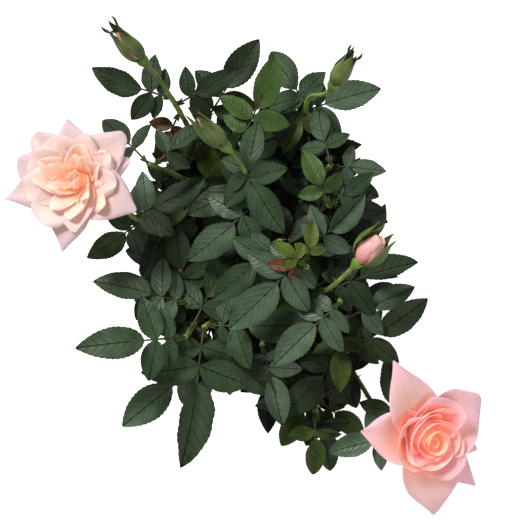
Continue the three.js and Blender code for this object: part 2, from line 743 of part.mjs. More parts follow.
// One petal: four-cornered sections from the claw to a pointed tip, cupped low down, rolled back above
function petalSolid(foot, facing, turn, length, width, leanFoot, leanTip) {
  const side = Math.abs(facing.x) > 0.9 ? point(0, 1, 0) : point(1, 0, 0);
  const first = side.addScaledVector(facing, -side.dot(facing)).normalize();
  const second = facing.clone().cross(first);
  const out = first.multiplyScalar(Math.cos(turn)).addScaledVector(second, Math.sin(turn));
  const across = facing.clone().cross(out);
  const rings = PETAL_STATIONS.map(([share, spread, bend]) => {
    const [spot, inward] = petalSpine(foot, facing, out, length, leanFoot, leanTip, share);
    const half = (width / 2) * spread;
    const edge = moved(spot, inward, bend * half);
    return [
      moved(edge, across, -half),
      moved(spot, inward, -PETAL_THICK / 2),
      moved(edge, across, half),
      moved(spot, inward, PETAL_THICK / 2),
    ];
  });
  const [tip] = petalSpine(foot, facing, out, length, leanFoot, leanTip, 1);
  return skinned([...rings, [tip]]);
}

function bloomSolids(bloom) {
  const foot = point(...bloom.foot);
  const facing = point(...bloom.facing).normalize();
  const path = HEART.map(([height]) => moved(foot, facing, height));
  const radii = HEART.map(([, radius]) => radius);
  const hip = limb([moved(foot, facing, -5), moved(foot, facing, 2)], [2.6, 3.4], 6);
  const pieces = [hip, limb(path, radii, HEART_SIDES)];
  for (const [heading, length] of bloom.outer) {
    const turn = THREE.MathUtils.degToRad(heading);
    pieces.push(petalSolid(foot, facing, turn, length, OUTER_WIDTH, ...OUTER_LEAN));
  }
  const [count, length, width, leanFoot, leanTip] = INNER_RING;
  for (let i = 0; i < count; i++) {
    const turn = (2 * Math.PI * i) / count;
    pieces.push(petalSolid(foot, facing, turn, length, width, leanFoot, leanTip));
  }
  return pieces;
}

function makeShoot(shoot) {
  const path = [...shoot.stem, ...shoot.neck];
  const radii = path.map((_, i) => STEM_BASE + ((STEM_TIP - STEM_BASE) * i) / (path.length - 1));
  const stem = limb(path, radii, TWIG_SIDES, shoot.leaving);
  const pieces = [stem, ...shoot.leaves.flatMap(leafSolids)];
  if (shoot.end === "bud") pieces.push(...budSolids(BUDS[shoot.name]));
  if (shoot.end === "bloom") pieces.push(...bloomSolids(BLOOMS[shoot.name]));
  return fused(pieces);
}

const rose = new THREE.Group();

function add(name, body, finish) {
  const [color, roughness] = COLOURS[finish];
  const material = new THREE.MeshStandardMaterial({ color, roughness, metalness: 0 });
  const mesh = new THREE.Mesh(geometryOf(body), material);
  mesh.name = name;
  rose.add(mesh);
  return mesh;
}

add("pot", makePot(), "pot");
add("soil", makeSoil(), "soil");
add("trunk", makeTrunk(), "bark");
for (const cane of canes) add(cane.name, makeCane(cane), "cane");
for (const shoot of shoots) {
  const mesh = add(shoot.name, makeShoot(shoot), shoot.end === "leaf" ? "leaf" : "young");
  mesh.userData.leaves = shoot.leaves.length;
}

export default rose;
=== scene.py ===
# A miniature rose in a plain round pot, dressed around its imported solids: the pot and its mix, the
# woody crown and canes, the stems and leaves that grow from them by one rule, the buds and blooms.
# Sizes and places are in millimetres, and become metres where a mesh is made.
import math
from functools import partial
from itertools import product

import bpy
import numpy as np
from mathutils import Matrix, Vector, noise


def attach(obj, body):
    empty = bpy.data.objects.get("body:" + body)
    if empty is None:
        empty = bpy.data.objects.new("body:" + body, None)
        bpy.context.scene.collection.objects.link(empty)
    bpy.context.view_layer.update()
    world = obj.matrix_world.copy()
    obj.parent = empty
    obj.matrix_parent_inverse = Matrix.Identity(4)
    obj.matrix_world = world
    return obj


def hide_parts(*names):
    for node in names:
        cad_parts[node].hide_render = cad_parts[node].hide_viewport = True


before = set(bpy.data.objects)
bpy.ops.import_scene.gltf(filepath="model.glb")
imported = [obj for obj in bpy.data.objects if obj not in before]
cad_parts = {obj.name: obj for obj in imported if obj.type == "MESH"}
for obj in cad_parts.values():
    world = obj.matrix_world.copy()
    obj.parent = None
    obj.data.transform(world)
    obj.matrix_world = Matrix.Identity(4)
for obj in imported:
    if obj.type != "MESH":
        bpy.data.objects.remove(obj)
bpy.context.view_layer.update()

# The pot is a light nursery pot, moulded in one piece from matt terracotta-coloured plastic. It steps
# out to a rim, by which pots are stacked and lifted, and drains through holes in its base.
MM = 0.001
GAP = 0.3
AXIS = 0.01
POT_HEIGHT = 90
POT_TOP_RADIUS = 50
POT_FOOT_RADIUS = 37
POT_WALL = 1.8
POT_FLOOR = 2.4
POT_FACETS = 120
POT_EDGE = 0.55
POT_CREASE = 38
RIM_DEPTH = 15
RIM_STEP = 1.7
DRAIN_HOLES = 6
DRAIN_RADIUS = 3.6
DRAIN_CIRCLE = 24
# The heights of two mould lines, and the profile of one: how far it stands out, and how far up
MOULD_LINES = [10, 64]
LINE_PROFILE = [(0, 0), (0.35, 0.5), (0.1, 1.4)]
SHADER = "Principled BSDF"


def tint(code):
    """A linear colour from a six-digit sRGB code."""
    shares = [int(code[i : i + 2], 16) / 255 for i in (0, 2, 4)]
    return [s / 12.92 if s < 0.04045 else ((s + 0.055) / 1.055) ** 2.4 for s in shares] + [1.0]


def plus(a, b, share=1.0):
    return (a[0] + b[0] * share, a[1] + b[1] * share, a[2] + b[2] * share)


def joined(shapes):
    """Several shapes as one. A shape is its points, its faces and, for some, a UV for each point."""
    points, faces, uvs = [], [], []
    for some_points, some_faces, *some_uvs in shapes:
        faces += [[len(points) + k for k in face] for face in some_faces]
        points += some_points
        uvs += sum(some_uvs, [])
    return points, faces, uvs


def made(name, points, faces, uvs=()):
    """A smooth mesh object at the origin, from a shape in millimetres."""
    mesh = bpy.data.meshes.new(name)
    mesh.from_pydata((np.array(points, float) * MM).tolist(), [], faces)
    if uvs:
        corners = np.empty(len(mesh.loops), np.int32)
        mesh.loops.foreach_get("vertex_index", corners)
        layer = mesh.uv_layers.new(name="UVMap")
        layer.data.foreach_set("uv", np.array(uvs, np.float32)[corners].ravel())
    mesh.shade_smooth()
    thing = bpy.data.objects.new(name, mesh)
    bpy.context.scene.collection.objects.link(thing)
    return thing


def settled(thing, **modifiers):
    """Runs the modifiers, each a kind with its settings, and keeps the result as a plain mesh."""
    for kind, settings in modifiers.items():
        modifier = thing.modifiers.new(kind, kind)
        for label, value in settings.items():
            setattr(modifier, label, value)
    bpy.context.view_layer.update()
    evaluated = thing.evaluated_get(bpy.context.evaluated_depsgraph_get())
    mesh = bpy.data.meshes.new_from_object(evaluated)
    thing.modifiers.clear()
    thing.data = mesh
    return thing


def skin(rings):
    """Points and outward faces over rings of equally many points, closed at both ends."""
    count = len(rings[0])
    top = (len(rings) - 1) * count
    faces = []
    for low in range(0, top, count):
        for i in range(count):
            k = (i + 1) % count
            faces.append([low + i, low + k, low + count + k, low + count + i])
    faces += [list(range(count))[::-1], list(range(top, top + count))]
    return [p for ring in rings for p in ring], faces


def turned(outline, facets, lift=lambda x, y, z: 0.0):
    """A body turned about Z from an outline of (radius, height) that starts and ends near the axis."""
    rings = []
    for radius, z in outline:
        angles = [math.tau * i / facets for i in range(facets)]
        around = [(radius * math.cos(angle), radius * math.sin(angle)) for angle in angles]
        rings.append([(x, y, z + lift(x, y, z)) for x, y in around])
    return skin(rings)


def rounded(corners, radius, steps=3):
    """The outline with each inner corner turned into a short arc."""
    outline = [corners[0]]
    for before, corner, after in zip(corners, corners[1:], corners[2:]):
        at = Vector(corner)
        to_before = Vector(before) - at
        to_after = Vector(after) - at
        reach = min(radius, to_before.length / 2, to_after.length / 2)
        start = at + to_before.normalized() * reach
        end = at + to_after.normalized() * reach
        for i in range(steps + 1):
            t = i / steps
            outline.append(tuple(start * (1 - t) ** 2 + at * 2 * t * (1 - t) + end * t * t))
    return outline + [corners[-1]]


def wired(tree, node, inputs):
    """Sets a node's inputs to plain values, or links them to sockets."""
    for label, value in inputs.items():
        if isinstance(value, bpy.types.NodeSocket):
            tree.links.new(value, node.inputs[label])
        else:
            node.inputs[label].default_value = value
    return node


def add(tree, kind, inputs=None, **settings):
    """A new node with its settings and its inputs."""
    node = tree.nodes.new(kind)
    for label, value in settings.items():
        setattr(node, label, value)
    return wired(tree, node, inputs or {})


def maths(tree, operation, *values):
    """The result of one operation on sockets and plain numbers."""
    return add(tree, "ShaderNodeMath", dict(enumerate(values)), operation=operation).outputs[0]


def ramp(tree, value, low, high, least=0.0, most=1.0):
    """What goes from least to most while the value goes from low to high."""
    ends = {"Value": value, "From Min": low, "From Max": high, "To Min": least, "To Max": most}
    return add(tree, "ShaderNodeMapRange", ends).outputs["Result"]


def mixed(tree, share, *pair):
    """A colour a share of the way between two, each a code or a socket."""
    first, second = (tint(colour) if isinstance(colour, str) else colour for colour in pair)
    return add(tree, "ShaderNodeMix", {0: share, 6: first, 7: second}, data_type="RGBA").outputs[2]


def group_of(kind, name, inputs, outputs):
    """An empty node group with named sockets, what it is given and what it puts out."""
    group = bpy.data.node_groups.new(name, kind + "NodeTree")
    for way, sockets in [("INPUT", inputs), ("OUTPUT", outputs)]:
        for label, sort in sockets.items():
            group.interface.new_socket(label, in_out=way, socket_type="NodeSocket" + sort)
    return group, group.nodes.new("NodeGroupInput").outputs, group.nodes.new("NodeGroupOutput")


def mottle():
    """The shader group that breaks up every finish: a soft mask of patches and a fine grain."""
    sizes = {"Scale": "Float", "Stretch": "Float", "Fine": "Float"}
    group, given, out = group_of("Shader", "mottle", sizes, {"Mask": "Float", "Grain": "Float"})
    place = add(group, "ShaderNodeTexCoord").outputs["Object"]
    squeeze = add(group, "ShaderNodeCombineXYZ", {"X": 1.0, "Y": 1.0, "Z": given["Stretch"]}).outputs[0]
    along = add(group, "ShaderNodeVectorMath", {0: place, 1: squeeze}, operation="MULTIPLY").outputs[0]
    finer = maths(group, "MULTIPLY", given["Scale"], given["Fine"])
    for label, scale, detail in [("Mask", given["Scale"], 4.0), ("Grain", finer, 8.0)]:
        field = {"Vector": along, "Scale": scale, "Detail": detail, "Roughness": 0.6}
        value = add(group, "ShaderNodeTexNoise", field).outputs["Fac"]
        wired(group, out, {label: ramp(group, value, 0.32, 0.68)})
    return group


MOTTLE = mottle()


def fed(tree, label):
    """What an input of the shader has so far: the socket linked to it, or its plain value."""
    socket = tree.nodes[SHADER].inputs[label]
    return socket.links[0].from_socket if socket.links else socket.default_value


def embossed(tree, height, strength, depth):
    """Adds a relief of depth mm to what the surface has so far."""
    relief = {"Height": height, "Strength": strength, "Distance": depth * MM, "Normal": fed(tree, "Normal")}
    wired(tree, tree.nodes[SHADER], {"Normal": add(tree, "ShaderNodeBump", relief).outputs["Normal"]})


def finish(name, dark, light, roughness, scale, stretch=1.0, fine=6.0, relief=0.3, depth=0.2):
    """A material whose colour and gloss wander between two values, with a fine relief of depth mm."""
    material = bpy.data.materials.new(name)
    material.use_nodes = True
    tree = material.node_tree
    sizes = {"Scale": scale, "Stretch": stretch, "Fine": fine}
    pattern = add(tree, "ShaderNodeGroup", sizes, node_tree=MOTTLE, name="pattern")
    mask = pattern.outputs["Mask"]
    gloss = ramp(tree, mask, 0.0, 1.0, *roughness)
    wired(tree, tree.nodes[SHADER], {"Base Color": mixed(tree, mask, dark, light), "Roughness": gloss})
    embossed(tree, pattern.outputs["Grain"], relief, depth)
    return material


def fitted(thing, material, slot, *nodes):
    """Gives a finished piece its material and body, and the solids it stands for. The slot is not used."""
    thing.data.materials.clear()
    thing.data.materials.append(material)
    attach(thing, "root")
    if nodes:
        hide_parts(*nodes)
    return thing


rim_foot = POT_HEIGHT - RIM_DEPTH
rim_radius = POT_TOP_RADIUS - RIM_STEP
pot_slope = (rim_radius - POT_FOOT_RADIUS) / rim_foot
pot_outline = [(AXIS, 0), (POT_FOOT_RADIUS, 0)]
for line in MOULD_LINES:
    at_line = POT_FOOT_RADIUS + pot_slope * line
    pot_outline += [(at_line + proud, line + up) for proud, up in LINE_PROFILE]
pot_outline += [
    (rim_radius, rim_foot),
    (rim_radius + RIM_STEP, rim_foot),
    (POT_TOP_RADIUS, POT_HEIGHT),
    (POT_TOP_RADIUS - POT_WALL, POT_HEIGHT),
    (rim_radius - POT_WALL, rim_foot),
    (POT_FOOT_RADIUS - POT_WALL, POT_FLOOR),
    (AXIS, POT_FLOOR),
]
pot = made("pot_shell", *turned(rounded(pot_outline, POT_EDGE), POT_FACETS))
hole = [(AXIS, -1), (DRAIN_RADIUS, -1), (DRAIN_RADIUS, POT_FLOOR + 1), (AXIS, POT_FLOOR + 1)]
hole_points, hole_faces = turned(hole, 24)
holes = []
for i in range(DRAIN_HOLES):
    angle = math.tau * i / DRAIN_HOLES
    shift = (math.cos(angle), math.sin(angle), 0)
    holes.append(([plus(p, shift, DRAIN_CIRCLE) for p in hole_points], hole_faces))
drill = made("drill", *joined(holes))
settled(pot, BOOLEAN={"object": drill}, EDGE_SPLIT={"split_angle": math.radians(POT_CREASE)})
bpy.data.objects.remove(drill)
plastic = finish("terracotta_plastic", "874b37", "985a43", (0.5, 0.66), 45, fine=30, relief=0.18, depth=0.15)
fitted(pot, plastic, "pot", "pot")

# The potting mix is moist dark peat with bark fines and a little white perlite. It is firmed round
# the crown and settled a finger's width below the rim.
SOIL_TOP = 80
SOIL_RISE = 1.6
SOIL_RINGS = 44
SOIL_FACETS = 132
# The surface's lumps, coarse and fine: how close they stand, and their share of the height
SOIL_LUMPS = [(0.11, 1.3), (0.37, 0.8)]
LUMP_HEIGHT = 0.8
SOIL_SINK = 1.2
# The area round the crown over which its rise fades
SOIL_SPREAD = 500
# Grains on it: name, number to a square metre, least and most size, seed
SOIL_GRAINS = [("soil_crumbs", 260000, 0.8, 2.6, 11), ("soil_perlite", 9000, 0.9, 2.2, 23)]


def soil_relief(x, y, z):
    """Lumps in the mix's surface, which rises round the crown, and none below it."""
    if z < SOIL_TOP:
        return 0.0
    lumps = sum(noise.noise(Vector((x, y, 3.7)) * close) * high for close, high in SOIL_LUMPS)
    crown = SOIL_RISE * math.exp(-(x * x + y * y) / SOIL_SPREAD)
    return lumps * LUMP_HEIGHT + crown - SOIL_SINK


def grown(thing, group, values):
    """Runs a tree on an object with the named values, and keeps the result as its plain mesh."""
    growth = thing.modifiers.new(group.name, "NODES")
    growth.node_group = group
    for item in group.interface.items_tree:
        if item.in_out == "INPUT" and item.name in values:
            growth[item.identifier] = values[item.name]
    return settled(thing)


def tree_of(name, **inputs):
    """An empty Geometry Nodes tree that takes a mesh, a material and more, by name."""
    sockets = {"Geometry": "Geometry", **inputs, "Material": "Material"}
    return group_of("Geometry", name, sockets, {"Geometry": "Geometry"})


def planted(group, given, out, spots):
    """Ends a tree: sets shapes on its spots, makes them real and gives them the material."""
    placed = add(group, "GeometryNodeInstanceOnPoints", spots).outputs[0]
    real = add(group, "GeometryNodeRealizeInstances", {0: placed}).outputs[0]
    coat = add(group, "GeometryNodeSetMaterial", {"Geometry": real, "Material": given["Material"]})
    wired(group, out, {0: coat.outputs[0]})
    return group


def scatter_tree():
    """Grains scattered over the upward faces of a surface, each turned and sized by chance."""
    sizes = {"Density": "Float", "Least": "Float", "Most": "Float", "Seed": "Int"}
    group, given, out = tree_of("scatter", Grain="Object", **sizes)
    seed = {"Seed": given["Seed"]}
    normal = add(group, "GeometryNodeInputNormal").outputs[0]
    level = add(group, "ShaderNodeSeparateXYZ", {0: normal}).outputs["Z"]
    upward = add(group, "FunctionNodeCompare", {0: level, 1: 0.4}, operation="GREATER_THAN").outputs[0]
    spread = {"Mesh": given["Geometry"], "Selection": upward, "Density": given["Density"], **seed}
    spots = add(group, "GeometryNodeDistributePointsOnFaces", spread).outputs["Points"]
    full_turn = {"Max": (math.tau, math.tau, math.tau), **seed}
    turn = add(group, "FunctionNodeRandomValue", full_turn, data_type="FLOAT_VECTOR").outputs[0]
    size = add(group, "FunctionNodeRandomValue", {2: given["Least"], 3: given["Most"], **seed}).outputs[1]
    grain = add(group, "GeometryNodeObjectInfo", {"Object": given["Grain"]}).outputs["Geometry"]
    return planted(group, given, out, {"Points": spots, "Instance": grain, "Rotation": turn, "Scale": size})


def crumb(name, seed):
    """A rough grain one millimetre across, with a dozen corners."""
    points, faces = turned([(0.12, -0.45), (0.46, -0.2), (0.5, 0.2), (0.14, 0.45)], 5)
    bent = [Vector(p) * (1 + 0.45 * noise.noise(Vector(p) * 2.3 + Vector((seed, 0, 0)))) for p in points]
    return made(name, [tuple(p) for p in bent], faces)


clear = POT_WALL + GAP
soil_edge = rim_radius - clear + GAP
soil_outline = [(AXIS, POT_FLOOR + GAP), (POT_FOOT_RADIUS - clear, POT_FLOOR + GAP)]
soil_outline.append((rim_radius - clear, rim_foot))
for i in range(SOIL_RINGS + 1):
    soil_outline.append((max(soil_edge * (1 - i / SOIL_RINGS), AXIS), SOIL_TOP))
soil_shape = turned(soil_outline, SOIL_FACETS, soil_relief)
peat = finish("moist_peat", "1a120b", "3a2a1c", (0.75, 0.95), 220, fine=8, relief=0.8, depth=0.8)
perlite = finish("perlite", "b9b3a6", "d8d3c8", (0.7, 0.9), 300, relief=0.4, depth=0.3)
soil = made("soil_body", *soil_shape)
scatter = scatter_tree()
for (name, density, least, most, seed), material in zip(SOIL_GRAINS, (peat, perlite)):
    grain = crumb("grain", seed)
    sizes = {"Grain": grain, "Density": density, "Least": least, "Most": most, "Seed": seed}
    fitted(grown(made(name, *soil_shape), scatter, {**sizes, "Material": material}), material, "soil", "soil")
    bpy.data.objects.remove(grain)
fitted(soil, peat, "soil", "soil")

# The woody crown is an old cutting, swollen where it was cut back each winter. Nine canes leave it
# evenly spread and rise to the knobs of the last cut. Corky brown bark gives way to green rind.
TRUNK_FOOT = SOIL_TOP + GAP
TRUNK_RINGS = [(-2.5, 11.4), (0, 10.6), (1.6, 8.4), (5, 6.9), (9, 6.4), (10.6, 6.9)]
TRUNK_LOBES = 5
LOBE_DEPTH = 0.16
LOBE_TOP = 9
TRUNK_LEAN = 0.1
TRUNK_FACETS = 60
HEAD_RADIUS = 9
HEAD_RISE = 17
HEAD_ANGLES = [-42, -27, -12, 3, 18, 33, 48, 60, 72, 82, 90]
HEAD = (HEAD_RISE * TRUNK_LEAN, 0.0, TRUNK_FOOT + HEAD_RISE)
CANE_RADII = (2.4, 1.5)
CANE_SIDES = 12
CANE_STEP = 8
CANES_APART = 36
KNOB_RINGS = [(-1.9, 1.6), (-0.7, 2.3), (0.8, 2.25), (1.7, 1.6), (2.1, 0.7)]
FINE_STEP = 2.5
VOXEL = 0.5
# Bark turns to rind between these heights
BARK_TOP = 100
RIND_FROM = 122
# Ridges of the bark and flakes on it: how close they stand across and along, and how high
RIDGES = (0.6, 0.12, 0.42)
FLAKES = (1.9, 0.6, 0.16)
SPREAD_PASSES = 80
SPREAD_PUSH = 0.08
HANDLE = 0.36
# Canes: name, and the place of the knob at the end
CANES = [
    ("cane_north_west", (-27, 38, 130)),
    ("cane_north", (-8, 31, 143)),
    ("cane_north_east", (21, 38, 133)),
    ("cane_east", (23, -1, 137)),
    ("cane_south_east", (27, -42, 124)),
    ("cane_south", (-3, -25, 137)),
    ("cane_south_west", (-25, -26, 131)),
    ("cane_west", (-37, 2, 128)),
    ("cane_centre", (-5, 9, 148)),
]


def minus(a, b):
    return plus(a, b, -1)


def dot(a, b):
    return a[0] * b[0] + a[1] * b[1] + a[2] * b[2]


def cross(a, b):
    return (a[1] * b[2] - a[2] * b[1], a[2] * b[0] - a[0] * b[2], a[0] * b[1] - a[1] * b[0])


def unit(a):
    size = math.sqrt(dot(a, a))
    return (a[0] / size, a[1] / size, a[2] / size)


def between(a, b, share):
    return plus(a, minus(b, a), share)


def spread(wanted, fixed, apart):
    """Directions pushed apart until none is nearer than the angle to another or to the fixed one."""
    directions = [unit(d) for d in wanted]
    nearest = math.cos(math.radians(apart))
    for _ in range(SPREAD_PASSES):
        for i in range(len(directions)):
            for other in [fixed] + [d for k, d in enumerate(directions) if k != i]:
                if dot(directions[i], other) > nearest:
                    directions[i] = unit(plus(directions[i], other, -SPREAD_PUSH))
    return directions


def sweep(start, leaving, end, arriving, step):
    """Points along a smooth path that leaves one end and meets the other in the given directions."""
    span = math.dist(start, end)
    corners = (start, plus(start, leaving, span * HANDLE), plus(end, arriving, -span * HANDLE), end)
    pieces = max(2, math.ceil(span / step))
    path = []
    for i in range(pieces + 1):
        t = i / pieces
        u = 1 - t
        shares = (u * u * u, 3 * u * u * t, 3 * u * t * t, t * t * t)
        path.append(tuple(sum(w * c[axis] for w, c in zip(shares, corners)) for axis in range(3)))
    return path


def heading_at(path, i):
    """The direction of a path at one of its points."""
    return unit(minus(path[min(i + 1, len(path) - 1)], path[max(i - 1, 0)]))


def tube(path, radii, sides):
    """Points and faces of a round limb with the given radius at each point of its path."""
    across, rings = None, []
    for i, centre in enumerate(path):
        along = heading_at(path, i)
        start = across or ((0, 0, 1) if abs(along[2]) < 0.9 else (1, 0, 0))
        across = unit(plus(start, along, -dot(start, along)))
        beside = cross(along, across)
        ring = []
        for k in range(sides):
            turn = math.tau * k / sides
            corner = plus(centre, across, radii[i] * math.cos(turn))
            ring.append(plus(corner, beside, radii[i] * math.sin(turn)))
        rings.append(ring)
    return skin(rings)


wanted = [(x - HEAD[0], y - HEAD[1], max(9, 0.55 * (z - HEAD[2]))) for _, (x, y, z) in CANES]
canes = []
for (name, knob), leaving in zip(CANES, spread(wanted, (0, 0, -1), CANES_APART)):
    start = plus(HEAD, leaving, HEAD_RADIUS + GAP)
    arriving = unit(plus(unit(minus(knob, start)), (0, 0, 0.5)))
    canes.append((start, leaving, knob, arriving))

head_rings = [
    (HEAD_RISE + HEAD_RADIUS * math.sin(angle), max(HEAD_RADIUS * math.cos(angle), AXIS))
    for angle in np.radians(HEAD_ANGLES)
]
trunk_rings = []
for height, radius in TRUNK_RINGS + head_rings:
    lobe = LOBE_DEPTH * max(1 - height / LOBE_TOP, 0)
    lean = min(height, HEAD_RISE) * TRUNK_LEAN
    ring = []
    for i in range(TRUNK_FACETS):
        turn = math.tau * i / TRUNK_FACETS
        out = radius * (1 + lobe * math.cos(TRUNK_LOBES * turn))
        ring.append((lean + out * math.cos(turn), out * math.sin(turn), TRUNK_FOOT + height))
    trunk_rings.append(ring)
woody = [skin(trunk_rings)]
for cane in canes:
    start, leaving, knob, arriving = cane
    path = [plus(HEAD, leaving, HEAD_RADIUS * share) for share in (0.45, 0.75)]
    path += sweep(*cane, FINE_STEP)[:-1]
    radii = []
    for i in range(len(path)):
        share = max(i - 2, 0) / (len(path) - 2)
        flare = 1.3 * math.exp(-i / 2.2)
        radii.append(CANE_RADII[0] + (CANE_RADII[1] - CANE_RADII[0]) * share + flare)
    path += [plus(knob, arriving, offset) for offset, _ in KNOB_RINGS]
    woody.append(tube(path, radii + [radius for _, radius in KNOB_RINGS], CANE_SIDES))
crown = made("crown_and_canes", *joined(woody))
settled(crown, REMESH={"mode": "VOXEL", "voxel_size": VOXEL * MM}, SMOOTH={"factor": 0.5, "iterations": 5})
places = np.empty(len(crown.data.vertices) * 3, np.float32)
normals = np.empty_like(places)
crown.data.vertices.foreach_get("co", places)
crown.data.vertices.foreach_get("normal", normals)
for spot, normal in zip(places.reshape(-1, 3), normals.reshape(-1, 3)):
    x, y, z = (float(c) / MM for c in spot)
    age = min(max((RIND_FROM - z) / (RIND_FROM - BARK_TOP), 0), 1)
    ridge, flake = (
        noise.noise(Vector((x * across, y * across, z * along))) for across, along, _ in (RIDGES, FLAKES)
    )
    ridge = RIDGES[2] * (1 - abs(ridge) * 2.4) - 0.15
    spot += normal * (ridge * age + FLAKES[2] * flake * (0.4 + 0.6 * age)) * MM
crown.data.vertices.foreach_set("co", places)
crown.data.shade_smooth()


def by_height(tree, dark, light, low, high):
    """Lets a second pair of colours take over from the first between two heights in millimetres."""
    second = mixed(tree, tree.nodes["pattern"].outputs["Mask"], dark, light)
    place = add(tree, "ShaderNodeTexCoord").outputs["Object"]
    height = add(tree, "ShaderNodeSeparateXYZ", {0: place}).outputs["Z"]
    taken = mixed(tree, ramp(tree, height, low * MM, high * MM), fed(tree, "Base Color"), second)
    wired(tree, tree.nodes[SHADER], {"Base Color": taken})


bark = finish("corky_bark", "3d2f22", "78664c", (0.75, 0.95), 160, stretch=0.25, relief=0.7, depth=0.4)
by_height(bark.node_tree, "4b5a2c", "6c7f45", BARK_TOP, RIND_FROM)
fitted(crown, bark, "bark", "trunk", *[name for name, _ in CANES])

# Green shoots leave each knob evenly spread. All but the fillers reach the place where their top
# leaf, bud or bloom shows from above. Thorns stand on them, and stipules wing each leaf's foot.
STEM_STEP = 9
KNOB = 2.45
SHOOTS_APART = 58
SHOWN_LEAVES = 2
# Shoots: name, cane, top joint, first leaf's heading, turn to the second, length of the first one's
# top leaflet, the second's share of it, stalk, leaves
SHOOTS = [
    ("bud_top_left", 0, (-50.3, 78.9, 164), 162, -134, 28, 0.83, 0.6, 4),
    ("leaves_top_left", 0, (-33.9, 69.1, 156), 57, 137, 30, 0.7, 0.67, 5),
    ("bud_top_right", 2, (15.9, 77.7, 160), 123, -104, 28, 1.1, 0.38, 4),
    ("leaves_top_centre", 1, (-16.4, 56.7, 174), 66, -100, 29.5, 0.7, 0.67, 5),
    ("bud_centre", 1, (-14.4, 42.4, 187), -59, 140, 29, 0.8, 0.28, 4),
    ("leaves_right_up", 2, (27.5, 46.4, 168), 105, -108, 21, 0.85, 0.67, 5),
    ("leaves_right_mid", 2, (26.5, 26.0, 182), 115, -80, 20, 0.9, 0.6, 5),
    ("leaves_centre", 3, (15.3, 3.8, 188), 226, 177, 33, 0.75, 0.67, 5),
    ("leaves_young", 3, (15.1, -3.4, 197), 141, -61, 12, 1.15, 0.75, 3),
    ("leaves_right_inner", 3, (31.4, -20.2, 184), 223, -150, 29, 0.7, 0.6, 4),
    ("bud_pink", 3, (23.8, -14.8, 176), 19, 110, 30, 0.7, 0.67, 4),
    ("leaves_right", 4, (31.7, -29.7, 172), 25, -113, 24, 0.88, 0.75, 4),
    ("leaves_right_low", 4, (35.9, -44.6, 164), 31, -163, 30, 1, 0.63, 5),
    ("bloom_right", 4, (60.9, -87.4, 150), 193, -103, 24, 1.1, 0.55, 4),
    ("leaves_bottom", 4, (20.2, -75.7, 148), -90, 140, 22, 0.9, 0.67, 5),
    ("leaves_bottom_left", 6, (-34.5, -32.7, 170), -97, 97, 43, 0.8, 0.67, 5),
    ("leaves_left_low", 6, (-43.4, -37.3, 178), 184, -121, 33, 1, 0.67, 4),
    ("leaves_low_left", 6, (-34.0, -49.7, 150), 218, 120, 33.5, 0.8, 0.67, 4),
    ("leaves_left_mid", 7, (-42.4, -21.5, 166), 164, -60, 30, 0.85, 0.67, 5),
    ("bloom_left", 7, (-69.2, 21.1, 160), 26, -169, 29, 0.83, 0.45, 5),
    ("leaves_left_up", 0, (-62.2, 47.6, 162), 135, -95, 23, 0.9, 0.67, 5),
    ("leaves_centre_up", 8, (-6.2, 30.5, 177), 223, 79, 30, 0.6, 0.67, 5),
    ("leaves_centre_low", 8, (2.5, 9.1, 182), 222, 115, 27, 0.9, 0.67, 5),
    ("leaves_bottom_mid", 5, (-6.2, -41.8, 162), -75, 130, 26, 0.9, 0.67, 5),
]
# Shoots that fill the crown inside and below: name, cane, top joint, heading, length
FILL_SHOOTS = [
    ("inner_west", 7, (-24, 2, 146), 200, 27),
    ("inner_south", 5, (3, -18, 160), 290, 27),
    ("inner_north", 2, (10, 30, 156), 200, 27),
    ("inner_east", 3, (33, 6, 156), 20, 25),
    ("skirt_east", 3, (44, 2, 116), 5, 26),
    ("skirt_north_east", 2, (36, 32, 116), 40, 25),
    ("skirt_north", 1, (0, 60, 122), 84, 27),
    ("skirt_west_north", 0, (-50, 40, 116), 150, 27),
    ("skirt_west", 7, (-56, -6, 114), 190, 27),
    ("skirt_south_west", 6, (-44, -44, 113), 226, 27),
    ("skirt_south", 5, (-4, -56, 118), 268, 27),
    ("skirt_south_east", 4, (42, -42, 106), 320, 26),
]
FILL_SHAPE = (116, 0.67, 4)
# Flowers at a shoot's end: the foot of the bud or bloom, and the bud's tip or the bloom's facing
BUDS = {
    "bud_top_left": ((-61.3, 93, 196), (-73.9, 106, 212), 4.2),
    "bud_top_right": ((26.8, 82.3, 188), (35.2, 94.1, 204), 4.0),
    "bud_centre": ((-21.8, 52, 200), (-36.4, 65.6, 214), 3.3),
    "bud_pink": ((37.4, -2.9, 198), (50.8, 11.1, 212), 6.4),
}
BLOOMS = {
    "bloom_left": ((-91.4, 37.3, 188), (-0.26, 0.02, 0.96)),
    "bloom_right": ((67, -80.9, 182), (0.29, -0.24, 0.93)),
}


def seeded(seed):
    """A repeatable stream of numbers from 0 to 1."""
    while True:
        seed = (seed * 1664525 + 1013904223) % 4294967296
        yield seed / 4294967296


class Shoot:
    """A shoot as the table gives it, with its own stream of chances and the leaves it has grown."""

    def __init__(self, row, number):
        self.name, self.cane, self.top, self.first, self.turn, self.length, *rest = row
        self.second, self.stalk, self.count, self.shown = rest
        self.chances = seeded(7919 * (number + 1))
        self.leaves = []

    def draw(self):
        """The next chance, from 0 to 1."""
        return next(self.chances)

    def swing(self, width):
        """A chance amount to either side of nothing, over a given width in all."""
        return (self.draw() - 0.5) * width


rows = [row + (SHOWN_LEAVES,) for row in SHOOTS]
turn, stalk, count = FILL_SHAPE
rows += [(*place, turn, length, 1, stalk, count, 0) for *place, length in FILL_SHOOTS]
shoots = {row[0]: Shoot(row, number) for number, row in enumerate(rows)}

# Space already taken, as balls filed by the cell they stand in
CELL = 8
SAMPLE = 3
STEM_ROOM = 1.5
CANE_ROOM = 3.2
taken = {}


def cell_of(place, size=CELL):
    return tuple(math.floor(c / size) for c in place)


